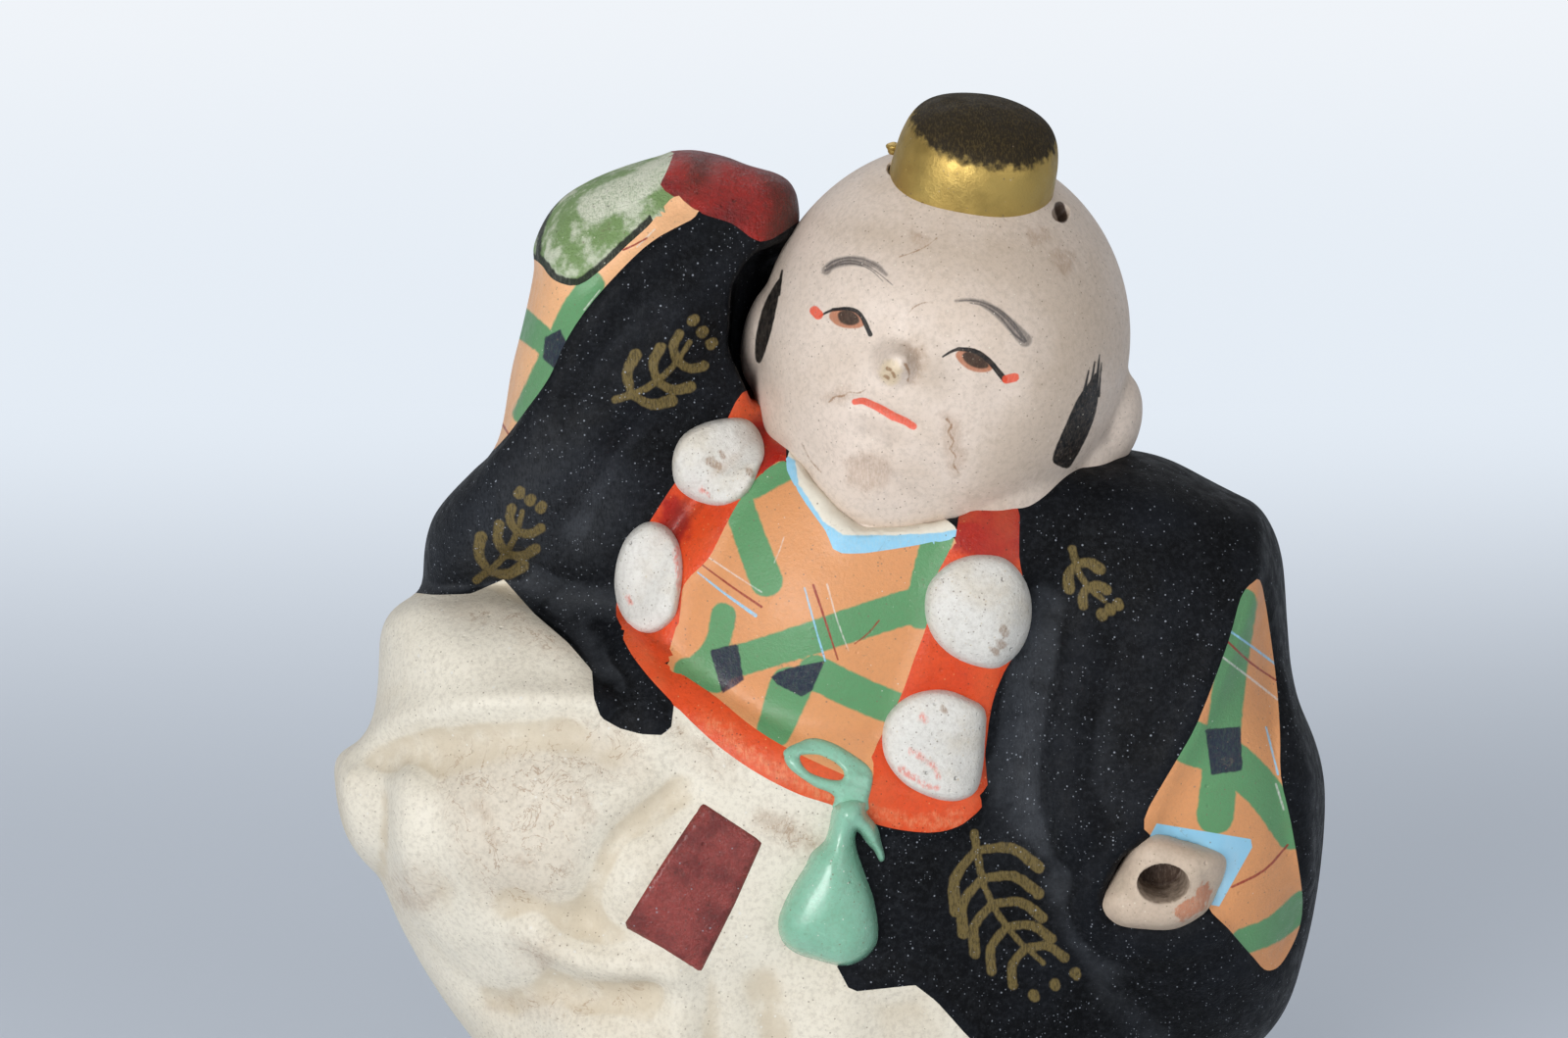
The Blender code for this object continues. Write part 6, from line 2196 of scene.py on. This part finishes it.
@dataclass
class Head:
    """The ball head with its ears and nose, the neck plug, the cap and its cord stub."""

    middle_px: tuple[float, float] = (955, 347)
    depth_px: float = -51.0
    radius_px: float = 199.0
    turn: tuple[float, float, float] = (math.radians(15), math.radians(13), math.radians(-9))
    grain: float = 0.45 * MM
    face_relief: float = 0.4 * MM
    nose_px: tuple[float, float] = (914, 371)
    nose_half_px: float = 20.0
    nose_rise_px: float = 17.0
    nose_room_px: float = 24.0
    jowls_px: tuple = (((909, 469), -128, 87), ((1000, 476), -104, 92), ((1086, 458), -74, 54))
    fold_px: Path = ((800, 464), (840, 508), (870, 529), (900, 538), (946, 544), (1010, 548))
    balls: tuple = (
        ((0.04, 0, 0), (0.93, 1, 1)),
        ((0.03, -0.04, -0.22), (0.9, 0.9, 0.84)),
        ((-0.82, -0.13, -0.15), (0.13, 0.2, 0.3)),
        ((0.94, 0.04, -0.22), (0.16, 0.24, 0.27)),
    )
    neck_draw: float = 0.16
    neck_draw_px: tuple[float, float] = (-3, 34)
    tie_holes_px: tuple = (((912, 172), 6.5), ((1083, 217), 8.5))
    tie_hole_depth: float = 3.2 * MM
    cap_radius_px: float = 80.0
    cap_height_px: float = 79.0
    cap_foot_share: float = 0.86
    cap_lean_px: float = 1.5

    def rotation(self) -> Array:
        """Turn of the head as a matrix."""
        return np.array(Euler(self.turn, "XYZ").to_matrix())

    def centre(self) -> Array:
        """Middle of the head."""
        return VIEW.place(self.middle_px, self.depth_px * VIEW.pixel)[0]

    def ball(self, middle: Array, half: tuple[float, float, float], fineness: int = 6) -> Skin:
        """A ball in the head's frame, in shares of its radius.

        Args:
            middle: its middle.
            half: its half sizes.
            fineness: how often its mesh is divided.

        Returns:
            Its skin.
        """
        skin = Skin.ball(fineness)
        local = (skin.points * np.array(half) + np.array(middle)) * self.radius_px * VIEW.pixel
        skin.points = self.centre() + local @ self.rotation().T
        return skin

    def build(self) -> None:
        """Make the pieces and put them in the frame."""
        self.head()
        self.neck()
        self.cap()
        self.stub()

    def head(self) -> None:
        """Skull, cheeks, ears and nose, painted."""
        balls = [self.ball(*ball) for ball in self.balls]
        for spot, depth, radius in self.jowls_px:
            jowl = self.ball(np.zeros(3), (radius / self.radius_px,) * 3)
            jowl.points += VIEW.place(spot, depth * VIEW.pixel)[0] - self.centre()
            balls.append(jowl)
        skin = fused("head", balls, self.grain, 22)
        work(skin, FACE_STROKES, VIEW.toward_eye)
        for reach in (9, 5):
            skin.refine(partial(self.painted_near, reach), 1)
        spots, normals = VIEW.seen(skin.points), skin.normals()
        front = normals @ VIEW.toward_eye > 0
        away = np.linalg.norm(spots - np.array(self.nose_px), axis=1) / self.nose_half_px
        dome = ramp(1.3 - away, 0, 1.05) * self.nose_rise_px
        skin.points += VIEW.toward_eye * (dome * front * VIEW.pixel)[:, None]
        for spot, radius in self.tie_holes_px:
            away = np.linalg.norm(spots - np.array(spot), axis=1) / radius
            drop = ramp(1.15 - away, 0, 0.5) * front * self.tie_hole_depth
            skin.points -= normals * drop[:, None]
        item = skin.item("head")
        keep_field(item, "relief", relief_of(skin, 40, self.face_relief))
        spots = VIEW.seen(skin.points)
        for name, mark in FACE_FIGURES.items():
            values = mark.field(spots)
            if name == "lips":
                values = np.maximum(values, CORNERS.field(spots))
            keep_field(item, name, np.where(front, values, AWAY_PX))
        FACE.dress(item, "head_face", "head_back")

    def painted_near(self, reach: float, points: Array) -> Array:
        """Which points of the face lie near the nose or a thin painted mark.

        Args:
            reach: how near a mark, in pixels.
            points: the points.

        Returns:
            Yes or no for each point.
        """
        spots = VIEW.seen(points)
        nose = np.linalg.norm(spots - np.array(self.nose_px), axis=1) < self.nose_room_px
        thin = [marks for name, marks in FACE_FIGURES.items() if name not in ("grime_and_shade", "face_shade")]
        return (nose | near_marks(spots, thin, reach)) & (points[:, 1] < self.centre()[1])

    def neck(self) -> None:
        """Neck between the collar and the head."""
        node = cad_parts["neck_plug"]
        skin = Skin.of(bpy.data.objects.new("neck", node.data.copy()))
        skin.refine(lambda middles: np.ones(len(middles), dtype=bool), 3)
        spots = VIEW.seen(skin.points)
        axis = (skin.points[:, :2].min(axis=0) + skin.points[:, :2].max(axis=0)) / 2
        above = np.interp(spots[:, 0], *np.array(self.fold_px, dtype=float).T) - spots[:, 1]
        drawn_in = 1 - self.neck_draw * ramp(above, *self.neck_draw_px)
        skin.points[:, :2] = axis + (skin.points[:, :2] - axis) * drawn_in[:, None]
        item = skin.item("neck")
        keep_field(item, "relief", np.zeros(len(skin.points)))
        for name in FACE_FIGURES:
            keep_field(item, name, np.full(len(skin.points), AWAY_PX))
        FACE.dress(item, "neck_plug")

    def cap(self) -> None:
        """Gilt cap, pressed a little out of true, with its worn top."""
        profile, count = smooth_path(CAP_PROFILE, 6), 96
        angles = np.linspace(0, 2 * math.pi, count, endpoint=False)
        across, up = profile[1:-1, 0].clip(0.005), profile[1:-1, 1]
        wobble = 1 + 0.012 * np.sin(2 * angles + 0.6) + 0.008 * np.sin(5 * angles)
        ring = np.stack((np.cos(angles) * wobble, np.sin(angles) * wobble), axis=1)
        local = np.empty((len(up), count, 3))
        local[:, :, :2] = across[:, None, None] * ring * self.cap_radius_px
        local[:, :, 0] += up[:, None] * self.cap_lean_px
        dent = 0.03 * np.sin(angles * 2 + 1.0) * across[:, None]
        local[:, :, 2] = (up[:, None] + dent * up[:, None].clip(0)) * self.cap_height_px
        foot = np.array((0, 0, self.cap_foot_share * self.radius_px))
        rings = self.centre() + (local + foot) @ self.rotation().T * VIEW.pixel
        ends = np.array(((0, 0, up[0] * self.cap_height_px), (0, 0, up[-1] * self.cap_height_px)))
        skin = Skin.lathe(rings, self.centre() + (ends + foot) @ self.rotation().T * VIEW.pixel)
        item = skin.item("cap")
        height = np.append(np.repeat(up, count), (up[0], up[-1]))
        radius = np.append(np.repeat(across, count), (0, 0))
        keep_field(item, "relief", relief_of(skin, 20))
        keep_field(item, "top", (height - 0.79 + 0.1 * (1 - radius)) * self.cap_height_px)
        GILT.dress(item, "cap")

    def stub(self) -> None:
        """Stub of the cap's cord in its hole."""
        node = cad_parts["cap_cord_stub"]
        low, high = (np.array(corner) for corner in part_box("cap_cord_stub"))
        skin = Skin.ball(4)
        lean = 1 + 0.12 * np.sin(5 * skin.points[:, 2:3])
        skin.points = (low + high) / 2 + skin.points * (high - low) / 2 * lean
        item = skin.item("cord_stub")
        keep_field(item, "relief", np.zeros(len(skin.points)))
        keep_field(item, "top", np.full(len(skin.points), AWAY_PX))
        GILT.dress(item, node.name)


@dataclass
class Hand:
    """The fist that once held a staff."""

    hole_px: tuple[float, float] = (1187, 902)
    hole_half_px: tuple[float, float] = (25.0, 19.0)
    hole_mean_px: float = 22.0
    hole_depth: float = 6 * MM
    front_depth: float = -21 * MM
    grain: float = 0.5 * MM
    strokes: tuple[Stroke, ...] = (
        Stroke(((1150, 870), (1190, 868), (1226, 884)), 12, 4),
        Stroke(((1150, 936), (1186, 938), (1222, 926)), 10, 4),
        Stroke(((1136, 900), (1148, 916)), 9, -4),
        Stroke(((1230, 885), (1236, 905)), 8, -3),
    )
    chip: Marks = Marks(paths=((((1206, 930), (1222, 922), (1230, 908)), 18, 14),))

    def build(self) -> None:
        """Make the fist and its bore, and put it in the frame."""
        skin = fused("fist", [HAND_PAD.skin(6, 12)], self.grain, 6)
        work(skin, self.strokes, VIEW.toward_eye)
        for share in (0.7, 0.35):
            skin.refine(partial(self.rim_near, share), 1)
        reach = self.reach(skin.points)
        front = skin.normals() @ VIEW.toward_eye > 0
        skin.points[:, 1] += ramp(1.08 - reach, 0, 0.16) * front * self.hole_depth
        item = skin.item("staff_hand_fine")
        keep_field(item, "relief", relief_of(skin, 12))
        keep_marks(item, (("chip", self.chip),), VIEW.seen(skin.points), front)
        # Painted shade in the bore, darkest inside
        keep_field(item, "bore", np.where(front, (1.02 - reach) * self.hole_mean_px, AWAY_PX))
        HAND.dress(item, "staff_hand")

    def rim_near(self, share: float, points: Array) -> Array:
        """Which points of the front lie within this share of the bore's rim."""
        return (np.abs(self.reach(points) - 1) < share) & (points[:, 1] < self.front_depth)

    def reach(self, points: Array) -> Array:
        """Distance from the middle of the bore, one on its rim."""
        away = (VIEW.seen(points) - np.array(self.hole_px)) / np.array(self.hole_half_px)
        return np.linalg.norm(away, axis=1)


@dataclass
class Studio:
    """Pale floor, plain soft lamps and the camera."""

    lamps: tuple = (
        ("key", (-0.46, -0.86, 0.19), 0.5, 7.25),
        ("fill", (0.6, -0.55, 0.3), 0.6, 1.2),
        ("back", (-0.1, 0.6, 0.7), 0.6, 1.5),
    )
    aim: tuple[float, float, float] = (0, 0, 0.07)
    sky: float = 0.4
    sky_colour: tuple[float, ...] = (0.95, 0.97, 1.0, 1.0)
    # Depths over which the floor's painted light goes from near to middle to far, and over which it
    # glows
    near_y: tuple[float, float] = (0.08, 0.5)
    far_y: tuple[float, float] = (0.35, 1.3)
    glow_y: tuple[float, float] = (0.12, 0.44)

    def build(self) -> None:
        """Set up the studio."""
        VIEW.add_camera()
        for name, place, size, power in self.lamps:
            lamp = bpy.data.lights.new(name, "AREA")
            lamp.shape, lamp.size, lamp.energy = "DISK", size, power
            item = bpy.data.objects.new(name, lamp)
            item.location = place
            toward = Vector(self.aim) - Vector(place)
            item.rotation_euler = toward.to_track_quat("-Z", "Y").to_euler()
            bpy.context.scene.collection.objects.link(item)
        world = bpy.data.worlds.new("studio")
        world.use_nodes = True
        sky = world.node_tree.nodes["Background"]
        sky.inputs["Color"].default_value = self.sky_colour
        sky.inputs["Strength"].default_value = self.sky
        bpy.context.scene.world = world
        bpy.context.scene.view_settings.view_transform = "Standard"
        self.floor()

    def floor(self) -> None:
        """Large pale floor that rises into a backdrop far behind."""
        rows = ((-1.2, 0.0), (0.6, 0.0), (1.6, 0.0), (2.2, 0.12), (2.6, 0.5), (2.7, 1.4))
        profile = smooth_path(rows, 8)
        points = np.array([(x, y, z) for y, z in profile for x in (-2.5, 2.5)])
        faces = []
        for row in range(len(profile) - 1):
            a = 2 * row
            faces += [(a, a + 1, a + 3), (a, a + 3, a + 2)]
        item = Skin(points, np.array(faces)).item("floor")
        material = bpy.data.materials.new("floor")
        material.use_nodes = True
        board = Board(material.node_tree)
        shader = material.node_tree.nodes["Principled BSDF"]
        place = board.add("SeparateXYZ", {0: board.add("TexCoord").outputs["Object"]})
        depth = place.outputs[1]
        # Painted light: the floor darker near the doll and lighter far off
        colour = board.mix(board.ramp(depth, *self.near_y), Paint.FLOOR_NEAR, Paint.FLOOR_MIDDLE)
        colour = board.mix(board.ramp(depth, *self.far_y), colour, Paint.FLOOR_FAR)
        board.feed(shader.inputs["Base Color"], colour)
        shader.inputs["Roughness"].default_value = 0.9
        shader.inputs["Specular IOR Level"].default_value = 0.1
        # Painted light: the far floor glows for the camera
        glow = board.add("Emission", {"Color": colour})
        seen = board.add("LightPath").outputs["Is Camera Ray"]
        share = board.times(board.ramp(depth, *self.glow_y), seen)
        sides = {0: share, 1: shader.outputs[0], 2: glow.outputs[0]}
        board.feed(
            material.node_tree.nodes["Material Output"].inputs["Surface"],
            board.add("MixShader", sides).outputs[0],
        )
        item.data.materials.append(material)


def dress_base_plate() -> None:
    """Bare clay for the plate below, which keeps its CAD shape."""
    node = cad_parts["base_plate"]
    material = BARE_CLAY.material()
    for slot in node.material_slots:
        slot.material = material


def main() -> None:
    """Build every piece in order."""
    logging.basicConfig(level=logging.INFO, format="%(name)s: %(message)s")
    Studio().build()
    clothes = Clothes()
    clothes.build()
    Trim(clothes.skin).build()
    Hand().build()
    Head().build()
    dress_base_plate()


if __name__ == "__main__":
    main()
